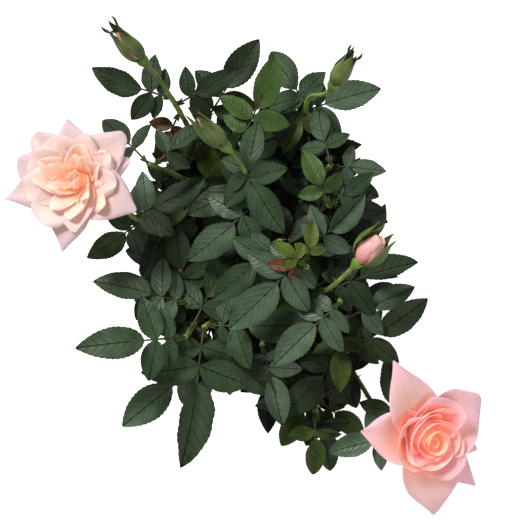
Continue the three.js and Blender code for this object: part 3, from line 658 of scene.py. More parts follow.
def claim(centre, radius, owner):
    taken.setdefault(cell_of(centre), []).append((centre, radius, owner))


def claim_path(path, radius, owner):
    for a, b in zip(path, path[1:]):
        steps = math.ceil(math.dist(a, b) / SAMPLE)
        for k in range(steps + 1):
            claim(between(a, b, k / steps), radius, owner)


stems, cane_paths = [], []
for number, cane in enumerate(canes):
    knob, cane_arriving = cane[2:]
    borne = [shoot for shoot in shoots.values() if shoot.cane == number]
    wanted = [minus(shoot.top, knob) for shoot in borne]
    down = plus((0, 0, 0), cane_arriving, -1)
    for shoot, direction in zip(borne, spread(wanted, down, SHOOTS_APART)):
        foot = plus(knob, direction, KNOB + GAP)
        bud, bloom = BUDS.get(shoot.name), BLOOMS.get(shoot.name)
        flower = (bud or bloom or [plus(shoot.top, (0, 0, 1), 40)])[0]
        arriving = unit(minus(flower, shoot.top))
        arriving = unit(plus(arriving, unit(minus(shoot.top, foot))))
        shoot.stem = sweep(foot, direction, shoot.top, arriving, STEM_STEP)
        fine = [plus(knob, direction, 0.8)] + sweep(foot, direction, shoot.top, arriving, FINE_STEP)
        neck = []
        if bud or bloom:
            facing = unit(minus(bud[1], flower) if bud else bloom[1])
            neck = sweep(shoot.top, arriving, flower, facing, STEM_STEP)[1:]
            fine += sweep(shoot.top, arriving, flower, facing, FINE_STEP)[1:]
        claim_path(shoot.stem + neck, STEM_ROOM, shoot.name)
        stems.append((fine, shoot))
    cane_paths.append((sweep(*cane, CANE_STEP), borne[0]))
    claim_path(cane_paths[-1][0], CANE_ROOM, CANES[number][0])

# A rose leaf is compound: a thin reddish stalk, winged at its foot, with a top leaflet and one or two
# pairs of side leaflets. The leaves shown from above come first, then each shoot's lower ones.
# Side leaflets: their place along the stalk, their share of the top one's length, how far they fan out
UPPER_PAIR = (0.82, 0.66, 64)
LOWER_PAIR = (0.5, 0.48, 70)
LEAF_WIDTH = 0.47
SIDE_WIDTH = 0.52
WIDEST_AT = 0.42
LEAF_DROOP = 6
SIDE_SAG = 0.1
ROOT_SUNK = 1.5
TRIES = 24
BACK_STEP = 1.7
SHORTEST_STEM = 6
SHOWN_RISES = [2, -14, 18]
FIVE_LEAFLETS_FROM = 24
FIVE_LEAFLETS_TRIES = 9
LEAF_ROOM = 1.35
STALK_ROOM = 1.2
JOINT_ROOM = 9
POT_ROOM = 3
REACH_CENTRE = (-8, -3)
REACH = (70, 88)
# Where a bloom's room has its middle, how wide it is and how long
BLOOM_ROOM = (14, 30, 17)
# How far a leaf may stray by chance, in degrees: its heading, its rise and its roll
WANDER = 140
SHOWN_SWING = 8
LOWER_SWING = 44
ROLL_SWING = 28
# How far down a stem its leaves stand, and how far each is turned round it from the last
LEAF_STEPS = [0, 5, 13, 21, 29, 37, 45]
GOLDEN_TURN = 137.5


def bearing(heading, rise):
    """A unit direction from a compass heading and a rise, in degrees."""
    h, r = math.radians(heading), math.radians(rise)
    return (math.cos(h) * math.cos(r), math.sin(h) * math.cos(r), math.sin(r))


def aim(first, second, turn):
    """The direction that is turned from the first of two square directions towards the second."""
    return plus(plus((0, 0, 0), first, math.cos(turn)), second, math.sin(turn))


def back_along(path, distance):
    """The point a distance back from the end of a path, or none past its start."""
    for i in range(len(path) - 1, 0, -1):
        step = math.dist(path[i], path[i - 1])
        if distance <= step:
            return between(path[i], path[i - 1], distance / step)
        distance -= step
    return None


def is_free(centre, radius, owner, joint):
    """Whether a ball keeps clear of what is taken, its own stem near the joint apart."""
    near = math.dist(centre, joint) < JOINT_ROOM
    x, y, z = cell_of(centre)
    for i, j, k in product((-1, 0, 1), repeat=3):
        for ball, room, holder in taken.get((x + i, y + j, z + k), ()):
            if math.dist(centre, ball) < radius + room and not (near and holder == owner):
                return False
    return True


def clear_of_pot(p):
    return p[2] > POT_HEIGHT + POT_ROOM or math.hypot(p[0], p[1]) > POT_TOP_RADIUS + POT_ROOM


def clear_of_blooms(p):
    height, across, along = BLOOM_ROOM
    for foot, facing in BLOOMS.values():
        facing = unit(facing)
        away = minus(p, plus(foot, facing, height))
        high = dot(away, facing) / along
        flat = plus(away, facing, -dot(away, facing))
        wide = math.sqrt(dot(flat, flat)) / across
        if high * high + wide * wide <= 1:
            return False
    return True


def within_reach(p):
    x = (p[0] - REACH_CENTRE[0]) / REACH[0]
    y = (p[1] - REACH_CENTRE[1]) / REACH[1]
    return x * x + y * y < 1


def leaflet(root, along, upper, length, width):
    """A leaflet's root, the way it points, its left side, its upper face, its length and width."""
    side = unit(cross(upper, along))
    return (root, along, side, unit(cross(along, side)), length, width)


def compound_leaf(joint, heading, rise, roll, length, stalk, pairs):
    """A leaf's stalk, as its two ends, and its leaflets, of which the top one comes first."""
    first = bearing(heading, rise)
    end = plus(joint, first, length * stalk)
    level = bearing(heading + 90, roll)
    above = unit(cross(first, level))
    droop = bearing(heading, rise - LEAF_DROOP)
    blades = [leaflet(plus(end, first, -ROOT_SUNK), droop, above, length, length * LEAF_WIDTH)]
    for place, size, fan in [UPPER_PAIR, LOWER_PAIR][:pairs]:
        span = length * size
        for angle in (-math.radians(fan), math.radians(fan)):
            along = unit(plus(aim(first, level, angle), (0, 0, 1), -SIDE_SAG))
            blades.append(leaflet(between(joint, end, place), along, above, span, span * SIDE_WIDTH))
    return (joint, end), blades


def samples(blade):
    """Points spread over a leaflet, closer together than its claims are wide."""
    root, along, side, _, length, width = blade
    points = []
    rows = math.ceil(length / SAMPLE)
    for i in range(1, rows + 1):
        share = i / rows
        half = width * 0.5 * min(share / WIDEST_AT, (1.04 - share) / 0.6, 1)
        columns = math.ceil(half / SAMPLE)
        for k in range(-columns, columns + 1):
            points.append(plus(plus(root, along, share * length), side, half * k / columns))
    return points


def keep_leaf(shoot, k, kind, leaf, inside, room=LEAF_ROOM, allowed=lambda p: True):
    """Adds a leaf to its shoot and claims its space, if that is free, and says whether it is."""
    stalk, blades = leaf
    spots = [p for blade in blades for p in samples(blade)]
    for p in [between(*stalk, share) for share in (0.3, 0.6, 0.9)] + spots:
        if inside and not within_reach(p):
            return False
        if not (clear_of_pot(p) and clear_of_blooms(p) and allowed(p)):
            return False
        if not is_free(p, room, shoot.name, stalk[0]):
            return False
    for spot in spots:
        claim(spot, LEAF_ROOM, shoot.name)
    claim_path(stalk, STALK_ROOM, shoot.name)
    shoot.leaves.append((k, kind, stalk, blades))
    return True


def grow_leaf(shoot, k):
    """The k-th leaf down a shoot: tried a few ways, and skipped where it would touch something."""
    shown = k < shoot.shown
    around = shoot.first + shoot.turn * min(k, 1) + GOLDEN_TURN * max(k - 1, 0)
    for attempt in range(TRIES):
        ease = attempt / TRIES
        joint = back_along(shoot.stem, LEAF_STEPS[k] + BACK_STEP * (attempt // 3))
        heading = around + shoot.swing(max(0, WANDER * (ease - 0.5)) if shown else 40 + WANDER * ease)
        rise = SHOWN_RISES[attempt % 3] if shown else 2
        rise += shoot.swing(SHOWN_SWING if shown else LOWER_SWING)
        roll = shoot.swing(ROLL_SWING)
        share = (shoot.second if k else 1) - 0.1 * ease
        if not shown:
            share = 0.9 + 0.15 * shoot.draw() - 0.25 * ease
        if joint is None or math.dist(joint, shoot.stem[0]) < SHORTEST_STEM:
            return
        length = shoot.length * share
        five = shown and length > FIVE_LEAFLETS_FROM and attempt < FIVE_LEAFLETS_TRIES
        leaf = compound_leaf(joint, heading, rise, roll, length, shoot.stalk, 2 if five else 1)
        if keep_leaf(shoot, k, "shown" if shown else "lower", leaf, not shown):
            return


for name, (foot, tip, girth) in BUDS.items():
    claim_path([foot, tip], girth, name)
for showing in (True, False):
    for k in range(len(LEAF_STEPS)):
        for shoot in shoots.values():
            if k < shoot.count and (k < shoot.shown) == showing:
                grow_leaf(shoot, k)

# Leaves between the shown ones: shoot, distance down its stem, heading, length of the top leaflet
BETWEEN_LEAVES = [
    ("leaves_bottom", 5, 205, 25),
    ("leaves_bottom", 14, 240, 24),
    ("leaves_bottom", 3, 288, 25),
    ("leaves_bottom", 10, 322, 22),
    ("leaves_bottom", 22, 262, 25),
    ("leaves_right_low", 24, 285, 25),
    ("bloom_right", 22, 160, 22),
    ("bloom_right", 30, 250, 24),
    ("leaves_young", 6, 175, 13),
    ("bud_top_left", 9, 245, 21),
    ("bud_top_left", 19, 300, 24),
    ("leaves_left_up", 10, 60, 20),
]
BETWEEN_TRIES = 12
FINE_ROOM = 0.25
BETWEEN_FROM = 20
for number, (name, distance, heading, length) in enumerate(BETWEEN_LEAVES):
    shoot = shoots[name]
    for attempt in range(BETWEEN_TRIES):
        swing = shoot.swing(6) * attempt
        joint = back_along(shoot.stem, distance + 0.6 * attempt)
        rise = (shoot.draw() - 0.6) * 30
        size = length * (1 - 0.02 * attempt)
        leaf = compound_leaf(joint, heading + swing, rise, 0, size, 0.6, 1)
        if keep_leaf(shoot, BETWEEN_FROM + number, "lower", leaf, False, FINE_ROOM):
            break

# Finer growth follows by the same rule, in the same reach: small leaves between the joints and on the
# canes. They stay under the leaves that show from above, and close the crown seen from the sides.
FINE_STEPS = [3, 7, 11, 16, 21, 26, 32, 38, 45, 52, 60]
CANE_STEPS = [4, 9, 15, 22, 29, 36, 44]
FINE_TRIES = 14
FINE_SHARE = (0.5, 0.85)
FINE_LENGTH = 26
CANOPY_CELL = 3
CANOPY_SINK = 1.5

canopy = {}
for shoot in shoots.values():
    for _, kind, _, blades in shoot.leaves:
        if kind == "shown":
            for x, y, z in [p for blade in blades for p in samples(blade)]:
                cell = cell_of((x, y), CANOPY_CELL)
                canopy[cell] = max(canopy.get(cell, 0), z)


def under_canopy(p):
    """Whether a point doesn't stand over a leaf that shows."""
    x, y = cell_of(p[:2], CANOPY_CELL)
    tops = [canopy.get((x + i, y + j), 1000) for i, j in product((-1, 0, 1), repeat=2)]
    return p[2] < min(tops) - CANOPY_SINK


def grow_fine(shoot, path, distance, number):
    """A small leaf at a distance down a stem or cane, where there is room for one."""
    joint = back_along(path, distance)
    low, high = FINE_SHARE
    for attempt in range(FINE_TRIES if joint else 0):
        heading = shoot.first + GOLDEN_TURN * number + shoot.swing(200)
        rise = (shoot.draw() - 0.4) * 60
        roll = shoot.swing(40)
        length = FINE_LENGTH * (high - (high - low) * (shoot.draw() * 0.4 + 0.6 * attempt / FINE_TRIES))
        leaf = compound_leaf(joint, heading, rise, roll, length, shoot.stalk, 1)
        if keep_leaf(shoot, number, "fine", leaf, True, FINE_ROOM, under_canopy):
            return


for number, distance in enumerate(FINE_STEPS):
    for shoot in shoots.values():
        grow_fine(shoot, shoot.stem, distance, number)
for number, distance in enumerate(CANE_STEPS):
    for path, bearer in cane_paths:
        grow_fine(bearer, path, distance, number)

# The stems are round and green, a little thicker at each leaf's joint. Curved thorns stand on them,
# and fine bristles on the last stretch below a bud.
STEM_RADII = (1.3, 1.0)
STEM_SIDES = 8
# A stem's swelling at a joint, how far it reaches along the stem, and the most that several add up to
SWELLING = 0.32
SWELLING_REACH = 2.2
SWELLING_MOST = 0.4
# How far apart the thorns stand, and how far down from a bud the bristles reach
THORN_EVERY = 11
BRISTLED = 22
THORN_LENGTH = 2.6
BRISTLES = {"bud_pink": 120, "bud_top_left": 26, "bud_top_right": 26, "bud_centre": 22}
# A direction that no stem follows
ASLANT = (0.3, 0.2, 0.93)
# What a point carries for the shape that is set on it, and the sockets that this goes to
CARRIED = [
    ("shape", "INT", "Instance Index"),
    ("turn", "FLOAT_VECTOR", "Rotation"),
    ("size", "FLOAT_VECTOR", "Scale"),
]


def dealing_tree():
    """Sets one of three shapes on each point, with the turn, the size and the choice that it carries."""
    group, given, out = tree_of("dealt", First="Object", Second="Object", Third="Object")
    shapes = add(group, "GeometryNodeJoinGeometry")
    for label in ("Third", "Second", "First"):
        info = add(group, "GeometryNodeObjectInfo", {"As Instance": True, "Object": given[label]})
        wired(group, shapes, {0: info.outputs["Geometry"]})
    spots = {"Pick Instance": True, "Points": given["Geometry"], "Instance": shapes.outputs[0]}
    for label, sort, socket in CARRIED:
        carried = add(group, "GeometryNodeInputNamedAttribute", {"Name": label}, data_type=sort)
        spots[socket] = carried.outputs["Attribute"]
    return planted(group, given, out, spots)


DEALT = dealing_tree()


def dealt(name, spots, shapes, material):
    """One plain mesh of a shape set on every spot: (root, along, side, above, sizes in mm, choice)."""
    roots, *axes, sizes, choices = zip(*spots)
    turns = [tuple(Matrix(three).transposed().to_euler()) for three in zip(*axes)]
    thing = made(name, roots, [])
    for (label, sort, _), values in zip(CARRIED, (choices, turns, sizes)):
        field = thing.data.attributes.new(label, sort, "POINT")
        field.data.foreach_set("value" if sort == "INT" else "vector", np.ravel(values))
    grown(thing, DEALT, {**dict(zip(("First", "Second", "Third"), shapes)), "Material": material})
    for label, _, _ in CARRIED:
        if label in thing.data.attributes:
            thing.data.attributes.remove(thing.data.attributes[label])
    return thing


def prickle(shoot, spot, along, stand, length, least):
    """The place of a thorn that stands off the middle of a stem. Its side is drawn by chance, and so is
    its size, which is at least the given share of the length."""
    side = unit(cross(along, ASLANT))
    out = aim(side, cross(side, along), math.tau * shoot.draw())
    size = length * (least + 0.5 * shoot.draw())
    return plus(spot, out, stand), out, cross(along, out), along, (size, size, size), 0


stem_shapes, thorns, bristles = [], [], []
for path, shoot in stems:
    total = sum(math.dist(a, b) for a, b in zip(path, path[1:]))
    radii, gone = [], 0.0
    for i, spot in enumerate(path):
        gone += math.dist(spot, path[i - 1]) if i else 0
        swell = 0
        for _, _, (joint, _), _ in shoot.leaves:
            swell += SWELLING * math.exp(-((math.dist(spot, joint) / SWELLING_REACH) ** 2))
        taper = (STEM_RADII[1] - STEM_RADII[0]) * gone / total
        radii.append(STEM_RADII[0] + taper + min(swell, SWELLING_MOST))
        if i and math.floor(gone / THORN_EVERY) > math.floor((gone - FINE_STEP) / THORN_EVERY):
            along = heading_at(path, i)
            thorns.append(prickle(shoot, spot, along, radii[-1] * 0.8, THORN_LENGTH, least=0.6))
    stem_shapes.append(tube(path, radii, STEM_SIDES))
    near_top = path[-int(BRISTLED / FINE_STEP) :]
    for _ in range(BRISTLES.get(shoot.name, 0)):
        i = int(shoot.draw() * (len(near_top) - 1))
        spot = between(near_top[i], near_top[i + 1], shoot.draw())
        along = unit(minus(near_top[i + 1], near_top[i]))
        bristles.append(prickle(shoot, spot, along, stand=0.9, length=1, least=0.7))

rind = finish("green_rind", "5f7a30", "86a04c", (0.42, 0.6), 110, stretch=0.5, relief=0.25, depth=0.15)
fitted(made("stems", *joined(stem_shapes)), rind, "cane", *shoots)
reddish = finish("thorn", "5c3520", "8c6a3e", (0.35, 0.5), 300, relief=0.2, depth=0.1)
for name, spots, bend, girth in [("thorns", thorns, 0.22, 0.2), ("bristles", bristles, 0.05, 0.12)]:
    path = [(-0.08, 0, 0), (0.05, 0, 0), (0.35, 0, 0), (0.7, 0, -bend * 0.4), (1, 0, -bend)]
    shape = made("prickle_shape", *tube(path, [girth * share for share in (1.2, 1, 0.55, 0.28, 0.04)], 5))
    fitted(dealt(name, spots, [shape] * 3, reddish), reddish, "cane", *shoots)
    bpy.data.objects.remove(shape)

# Each stalk runs on under its top leaflet as the midrib, and is winged at its foot by two narrow
# stipules. The side leaflets stand further down it, and wider, than the room that was kept for them.
STALK_RADII = (0.85, 0.62, 0.56, 0.5, 0.44, 0.4, 0.15)
STALK_SIDES = 5
STALK_BOW = 0.5
FINE_SLIM = 0.75
STIPULE = (4.6, 1.3, 4.6)
# How far down they stand, as a share of the top leaflet's length, and how much they are turned back
SIDE_BACK = 0.11
SIDE_WIDER = 0.17


def spread_leaflets(stalk, blades):
    """The leaflets of a leaf, with the side pairs moved down its stalk and turned outwards."""
    back = unit(minus(*stalk))
    spread = blades[:1]
    for root, along, _, above, length, width in blades[1:]:
        spot = plus(root, back, SIDE_BACK * blades[0][4])
        spread.append(leaflet(spot, unit(plus(along, back, SIDE_WIDER)), above, length, width))
    return spread


def laid(root, along, upper, sizes):
    """The place of a shape that points along, with its upper face to one side."""
    side = unit(cross(upper, along))
    return root, along, side, cross(along, side), sizes, 0


stalk_shapes, stipules = [], []
for shoot in shoots.values():
    shoot.leaves = [(*rest, stalk, spread_leaflets(stalk, blades)) for *rest, stalk, blades in shoot.leaves]
    for _, kind, (joint, end), blades in shoot.leaves:
        slim = FINE_SLIM if kind == "fine" else 1.0
        _, along, _, above, length, _ = blades[0]
        path = []
        for share in (0, 0.25, 0.5, 0.75, 1):
            path.append(plus(between(joint, end, share), above, -STALK_BOW * math.sin(math.pi * share)))
        path += [plus(plus(end, along, length * share), above, -0.35) for share in (0.06, 0.22)]
        stalk_shapes.append(tube(path, [slim * radius for radius in STALK_RADII], STALK_SIDES))
        for root, aside, _, over, span, _ in blades[1:]:
            twig = [plus(plus(root, aside, far), over, -0.3) for far in (-0.2, span * 0.16)]
            stalk_shapes.append(tube(twig, [0.4 * slim, 0.12], 4))
        if kind != "fine":
            first = unit(minus(end, joint))
            level = unit(cross(above, first))
            for fan in (-0.34, 0.34):
                wing = unit(plus(first, level, fan))
                stipules.append(laid(plus(joint, first, 0.8), wing, above, STIPULE))
stalk_skin = finish("stalk_skin", "35261a", "454424", (0.45, 0.6), 90, relief=0.2, depth=0.1)
fitted(made("leaf_stalks", *joined(stalk_shapes)), stalk_skin, "cane", *shoots)

# A leaflet is an oval blade with a toothed edge, folded a little along its midrib, with the side
# veins pressed into its upper face and a paler, duller back. Stipules and the tips of sepals are
# narrow blades of the same kind.
LEAF_ROWS = 13
TOOTH = 0.022
# How much wider than its room a leaflet is drawn, and how far it rolls about its midrib
BLADE_WIDER = 1.04
LEAFLET_TILT = 0.8
# A leaf's finish: two colours of its face, its back, the colour that its veins, midrib and margin take
# (where dark, partly painted shade in the vein grooves and painted shade towards the edge), and its least
# and most roughness
LEAF_COLOURS = {
    "mid": ("314327", "455c3f", "4a6340", "0b130a", (0.46, 0.56)),
    "deep": ("1f2d19", "34462d", "344a2a", "060b05", (0.46, 0.56)),
    "grey": ("465942", "5d7259", "52694c", "101a10", (0.36, 0.48)),
    "fresh": ("33491f", "486030", "5c7a40", "5c7a3e", (0.4, 0.5)),
    "olive": ("2a3a12", "40561d", "4f5c2a", "5a6430", (0.46, 0.56)),
    "young": ("3a5216", "566a24", "6c7f38", "747228", (0.4, 0.5)),
    "red": ("26300f", "704822", "4a331f", "34240f", (0.4, 0.52)),
    "copper": ("5c2f18", "7a4824", "7a5030", "542410", (0.36, 0.46)),
    "shade": ("0e1a08", "18280e", "1a2810", "050a03", (0.5, 0.6)),
}
# Leaves this far under the leaves that show take the shade tone: a dark copy of the leaf finish, painted
# shade under the canopy
SHADE_DEPTH = 20
# The tones of single leaves that show from above, by the leaf's number on its shoot
LEAF_TONES = {
    "bud_top_left": {0: "deep", 1: "deep", 29: "red"},
    "leaves_left_up": {0: "deep"},
    "leaves_top_left": {0: "deep"},
    "leaves_top_centre": {0: "fresh"},
    "leaves_right_up": {0: "mid", 1: "grey"},
    "leaves_right_mid": {0: "fresh"},
    "leaves_young": {0: "young", 1: "young", 2: "young", 28: "copper"},
    "bud_pink": {0: "deep"},
    "leaves_right": {1: "olive"},
    "leaves_bottom": {0: "olive", 1: "deep", 20: "deep", 21: "olive", 22: "deep", 23: "olive", 24: "deep"},
    "leaves_centre": {0: "grey"},
    "leaves_left_mid": {0: "grey"},
    "leaves_left_low": {0: "mid"},
}
SHOWN_TONES = ["mid", "grey", "deep", "mid", "grey", "mid"]
# The lower leaves lean to the deep tone, which is partly painted shade under the leaves that show.
LOWER_TONES = ["deep", "mid", "deep", "olive", "deep", "mid"]
# Fold, curl, arch, sway and ripple of the three blades that the leaves are made of
BLADES = [(0.34, 0.1, 0.2, 0.03, 0.01), (0.28, 0.1, 0.26, 0.1, 0.016), (0.5, 0.14, 0.14, -0.06, 0.012)]
# The sepals of the closed buds end in leafy tips: headings round the bud, then for each blade of a
# tip how far back it stands, how it fans out, its length and its width
SEPAL_TIPS = {"bud_top_left": (95, 165, 20), "bud_top_right": (20, 80, 150), "bud_centre": (110,)}
TIP_LEAVES = [(0, 0, 8, 2.2), (0.6, 0.5, 3.6, 1.3), (0.6, -0.5, 3.6, 1.3)]


def blade_half(t):
    """A leaflet's half width at a share of its length, as a share of its full width."""
    if t < WIDEST_AT:
        return 0.5 * math.sin(math.pi / 2 * (t / WIDEST_AT) ** 0.7)
    return 0.5 * math.cos(math.pi / 2 * (t - WIDEST_AT) / (1 - WIDEST_AT)) ** 0.82


def blade_shape(fold, curl, arch, sway, ripple):
    """A leaflet of unit length and width: folded up, curled down at its edge and tip, swayed, rippled."""
    points, faces, uvs = [], [], []

    def place(t, y):
        height = fold * abs(y) - curl * 4 * y * y - arch * t * t + sway * y * math.sin(3.4 * t)
        height += ripple * math.sin(21 * t + 4 * y) * abs(y) * 2
        points.append((t, y, height))
        uvs.append((t, y + 0.5))
        return len(points) - 1

    rows = [i / LEAF_ROWS for i in range(LEAF_ROWS + 1)]
    middle = [place(t, 0) for t in rows]
    for hand in (1, -1):
        inner = [place(t, hand * blade_half(t) * 0.52) for t in rows]
        edge = [place(t, hand * blade_half(t)) for t in rows]
        for i in range(LEAF_ROWS):
            t = (i + 0.72) / LEAF_ROWS
            tooth = place(t, hand * (blade_half(t) + TOOTH * min(1, 3 * (1 - t))))
            faces.append([middle[i], middle[i + 1], inner[i + 1], inner[i]][::hand])
            faces.append([inner[i], inner[i + 1], edge[i + 1], tooth, edge[i]][::hand])
    return made("blade_shape", points, faces, uvs)


def leaf_veins():
    """The shader group of a leaf's veins: a mask for the vein colour at the veins and midrib (partly painted
    shade in their grooves) and growing towards the margin (painted edge shade), and their relief.
    """
    sizes = {"Pairs": "Float", "Slant": "Float"}
    group, given, out = group_of("Shader", "leaf_veins", sizes, {"Dark": "Float", "Relief": "Float"})
    take = partial(maths, group)
    part = add(group, "ShaderNodeSeparateXYZ", {0: add(group, "ShaderNodeUVMap").outputs[0]}).outputs
    whole = add(group, "ShaderNodeTexCoord").outputs["Object"]
    drift = add(group, "ShaderNodeTexNoise", {"Vector": whole, "Scale": 130.0}).outputs["Fac"]
    away = take("ABSOLUTE", take("MULTIPLY_ADD", part["Y"], 2.0, -1.0))
    near = take("SUBTRACT", 1.0, away)
    lines = take("MULTIPLY", part["X"], given["Pairs"])
    bent = take("MULTIPLY", take("POWER", away, 1.3), given["Slant"])
    wave = take("PINGPONG", take("MULTIPLY_ADD", drift, 0.6, take("SUBTRACT", lines, bent)), 0.5)
    vein_and_shade, rib = (
        take("SUBTRACT", 1.0, take("SMOOTH_MIN", take("MULTIPLY", distance, slope), 1.0, 0.3))
        for distance, slope in [(wave, 9.0), (away, 22.0)]
    )
    # The side veins and the midrib take the vein colour: partly their own colour, partly painted shade in
    # their grooves.
    drawn = take("MULTIPLY", take("MULTIPLY", vein_and_shade, 0.55), near)
    # Painted edge shade: the colour moves towards the vein colour with the square of the distance from the
    # midrib.
    painted_margin_shade = take("MULTIPLY", take("POWER", away, 2.0), 0.4)
    dark = take("ADD", take("MAXIMUM", rib, 0.0), take("ADD", drawn, painted_margin_shade))
    pillow = take("MULTIPLY", take("SINE", take("MULTIPLY", wave, math.pi)), 0.34)
    pressed = take("MULTIPLY_ADD", vein_and_shade, -0.25, take("MULTIPLY", pillow, near))
    wired(group, out, {"Dark": dark, "Relief": take("MULTIPLY_ADD", rib, -1.3, pressed)})
    return group


VEINS = leaf_veins()


def leaf_finish(name, dark, light, back, vein_and_shade, roughness):
    """A leaf material: two colours that wander, veins, midrib and margin in the vein colour (partly painted
    shade), pressed relief and a paler back.
    """
    material = finish(name, dark, light, roughness, 70, relief=0.2, depth=0.12)
    tree = material.node_tree
    veins = add(tree, "ShaderNodeGroup", {"Pairs": 7.0, "Slant": 2.6}, node_tree=VEINS).outputs
    # The vein colour over the veins, midrib and margin is partly painted shade.
    veined_and_shaded = mixed(tree, veins["Dark"], fed(tree, "Base Color"), vein_and_shade)
    behind = add(tree, "ShaderNodeNewGeometry").outputs["Backfacing"]
    looks = {"Base Color": mixed(tree, behind, veined_and_shaded, back), "Specular IOR Level": 0.22}
    wired(tree, tree.nodes[SHADER], looks)
    embossed(tree, veins["Relief"], 0.55, 0.55)
    return material


def tone_of(shoot, k, kind, spot):
    """The tone of a leaf whose top leaflet stands at the spot."""
    if kind != "fine" and k in LEAF_TONES.get(shoot.name, {}):
        return LEAF_TONES[shoot.name][k]
    # Painted shade: a leaf deep under the canopy takes the dark shade tone.
    if kind != "shown" and canopy.get(cell_of(spot[:2], CANOPY_CELL), 0) > spot[2] + SHADE_DEPTH:
        return "shade"
    choices = SHOWN_TONES if kind == "shown" else LOWER_TONES
    return choices[int(shoot.draw() * len(choices))]


leaf_spots = {tone: [] for tone in LEAF_COLOURS}
for shoot in shoots.values():
    for k, kind, _, blades in shoot.leaves:
        tone = tone_of(shoot, k, kind, blades[0][0])
        for root, along, side, above, length, width in blades:
            shape = int(shoot.draw() * len(BLADES))
            side = unit(plus(side, above, shoot.swing(LEAFLET_TILT)))
            sizes = (length, width * BLADE_WIDER, length)
            leaf_spots[tone].append((root, along, side, cross(along, side), sizes, shape))
leaf_shapes = [blade_shape(*blade) for blade in BLADES]
leaf_looks = {tone: leaf_finish("leaf_" + tone, *looks) for tone, looks in LEAF_COLOURS.items()}
for tone, look in leaf_looks.items():
    fitted(dealt("foliage_" + tone, leaf_spots[tone], leaf_shapes, look), look, "foliage", *shoots)
tips = []
for name, headings in SEPAL_TIPS.items():
    foot, tip, _ = BUDS[name]
    axis = unit(minus(tip, foot))
    first = unit(cross((0, 0, 1), axis))
    for heading in headings:
        out = aim(first, cross(axis, first), math.radians(heading))
        start = plus(plus(tip, axis, 2.2), out, 1.6)
        along = unit(plus(axis, out, 0.35))
        side = unit(cross(out, along))
        for back, fan, size, wide in TIP_LEAVES:
            lean = unit(plus(along, side, fan))
            tips.append(laid(plus(start, along, -back), lean, out, (size, wide, size)))
narrow = blade_shape(0.3, 0, 0.1, 0, 0)
stipule_green = leaf_finish("stipule_green", "34471c", "515c22", "5a6838", "2c3c18", (0.45, 0.6))
for name, spots, look, nodes in [
    ("stipules", stipules, stipule_green, shoots),
    ("sepal_tips", tips, leaf_looks["mid"], SEPAL_TIPS),
]:
    fitted(dealt(name, spots, [narrow] * 3, look), look, "foliage", *nodes)
for shape in [*leaf_shapes, narrow]:
    bpy.data.objects.remove(shape)

# Each bloom is a soft cup of petals on a green hip. Broad outer petals lie back with their edges rolled
# under, so that each ends in a point; the inner rings stand up and close round an apricot heart.
CLAW = 1.6
PETAL_ROWS = 14
PETAL_COLUMNS = 10
PETAL_THICK = 0.3
PETAL_STATIONS = 40


def flower_frame(foot, facing):
    """A flower's foot and axis, and two directions across it from which headings are counted."""
    facing = unit(facing)
    side = (0, 1, 0) if abs(facing[0]) > 0.9 else (1, 0, 0)
    first = unit(plus(side, facing, -dot(side, facing)))
    return foot, facing, first, cross(facing, first)


def profile(values, share):
    """A value read off evenly spaced ones."""
    return float(np.interp(share, np.linspace(0, 1, len(values)), values))


def petal(
    flower, heading, length, width, leans, cup=1.1, claw=CLAW, top=0.18, lift=0.0,
    point=0.0, roll=0.0, tuck=0.0, wave=0.0, seed=0.0,
):
    """A petal's points, faces and UVs. It leans by the given angles from claw to rim, and cups round
    the flower's axis, at cup times its distance from it. Its end can narrow to a point."""
    foot, facing, first, second = flower
    out = aim(first, second, math.radians(heading))
    across = cross(facing, out)
    spot = plus(plus(foot, out, claw), facing, lift)
    line, reach = [spot], [claw]
    for i in range(PETAL_STATIONS):
        lean = math.radians(profile(leans, (i + 0.5) / PETAL_STATIONS))
        over = math.sin(lean) * length / PETAL_STATIONS
        spot = plus(plus(spot, facing, math.cos(lean) * length / PETAL_STATIONS), out, over)
        line.append(spot)
        reach.append(reach[-1] + over)
    points, faces, uvs = [], [], []
    for row in range(PETAL_ROWS + 1):
        v = row / PETAL_ROWS
        # Narrow at the claw, at its full width from 0.6 of the length on, and drawn in to the point
        half = width / 2 * (0.28 + 0.72 * math.sin(min(v / 0.6, 1) * math.pi / 2))
        half *= 1 - point * (max(0, v - 0.45) / 0.55) ** 2.3
        for column in range(PETAL_COLUMNS + 1):
            s = 2 * column / PETAL_COLUMNS - 1
            share = v * (1 - top * abs(s) ** 2.2)
            at = share * PETAL_STATIONS
            low = min(int(at), PETAL_STATIONS - 1)
            spot = between(line[low], line[low + 1], at - low)
            lean = math.radians(profile(leans, share))
            inward = plus(plus((0, 0, 0), facing, math.sin(lean)), out, -math.cos(lean))
            # Bent to an arc round the axis, then tucked in at one edge, rolled back and rippled
            bend = max(cup * reach[low], 2.2)
            arc = s * half / bend
            beside, inside = bend * math.sin(arc), bend * (1 - math.cos(arc))
            edge = max(0, abs(s) - 0.35) / 0.65
            upper = max(0, v - 0.35) / 0.65
            inside += tuck * s - roll * edge * edge * upper
            inside += wave * math.sin(seed + 4.2 * s + 2.5 * v) * upper
            beside *= 1 - 0.065 * roll * edge * upper
            points.append(plus(plus(spot, across, beside), inward, inside))
            uvs.append((column / PETAL_COLUMNS, v))
    for row in range(PETAL_ROWS):
        for column in range(PETAL_COLUMNS):
            a = row * (PETAL_COLUMNS + 1) + column
            b = a + PETAL_COLUMNS + 1
            faces.append([a, a + 1, b + 1, b])
    return points, faces, uvs


def petal_piece(name, petals, thick=PETAL_THICK):
    """Several petals as one piece, given a thickness and rounded."""
    wall = {"thickness": thick * MM, "offset": 0}
    return settled(made(name, *joined(petals)), SOLIDIFY=wall, SUBSURF={"levels": 1, "render_levels": 1})


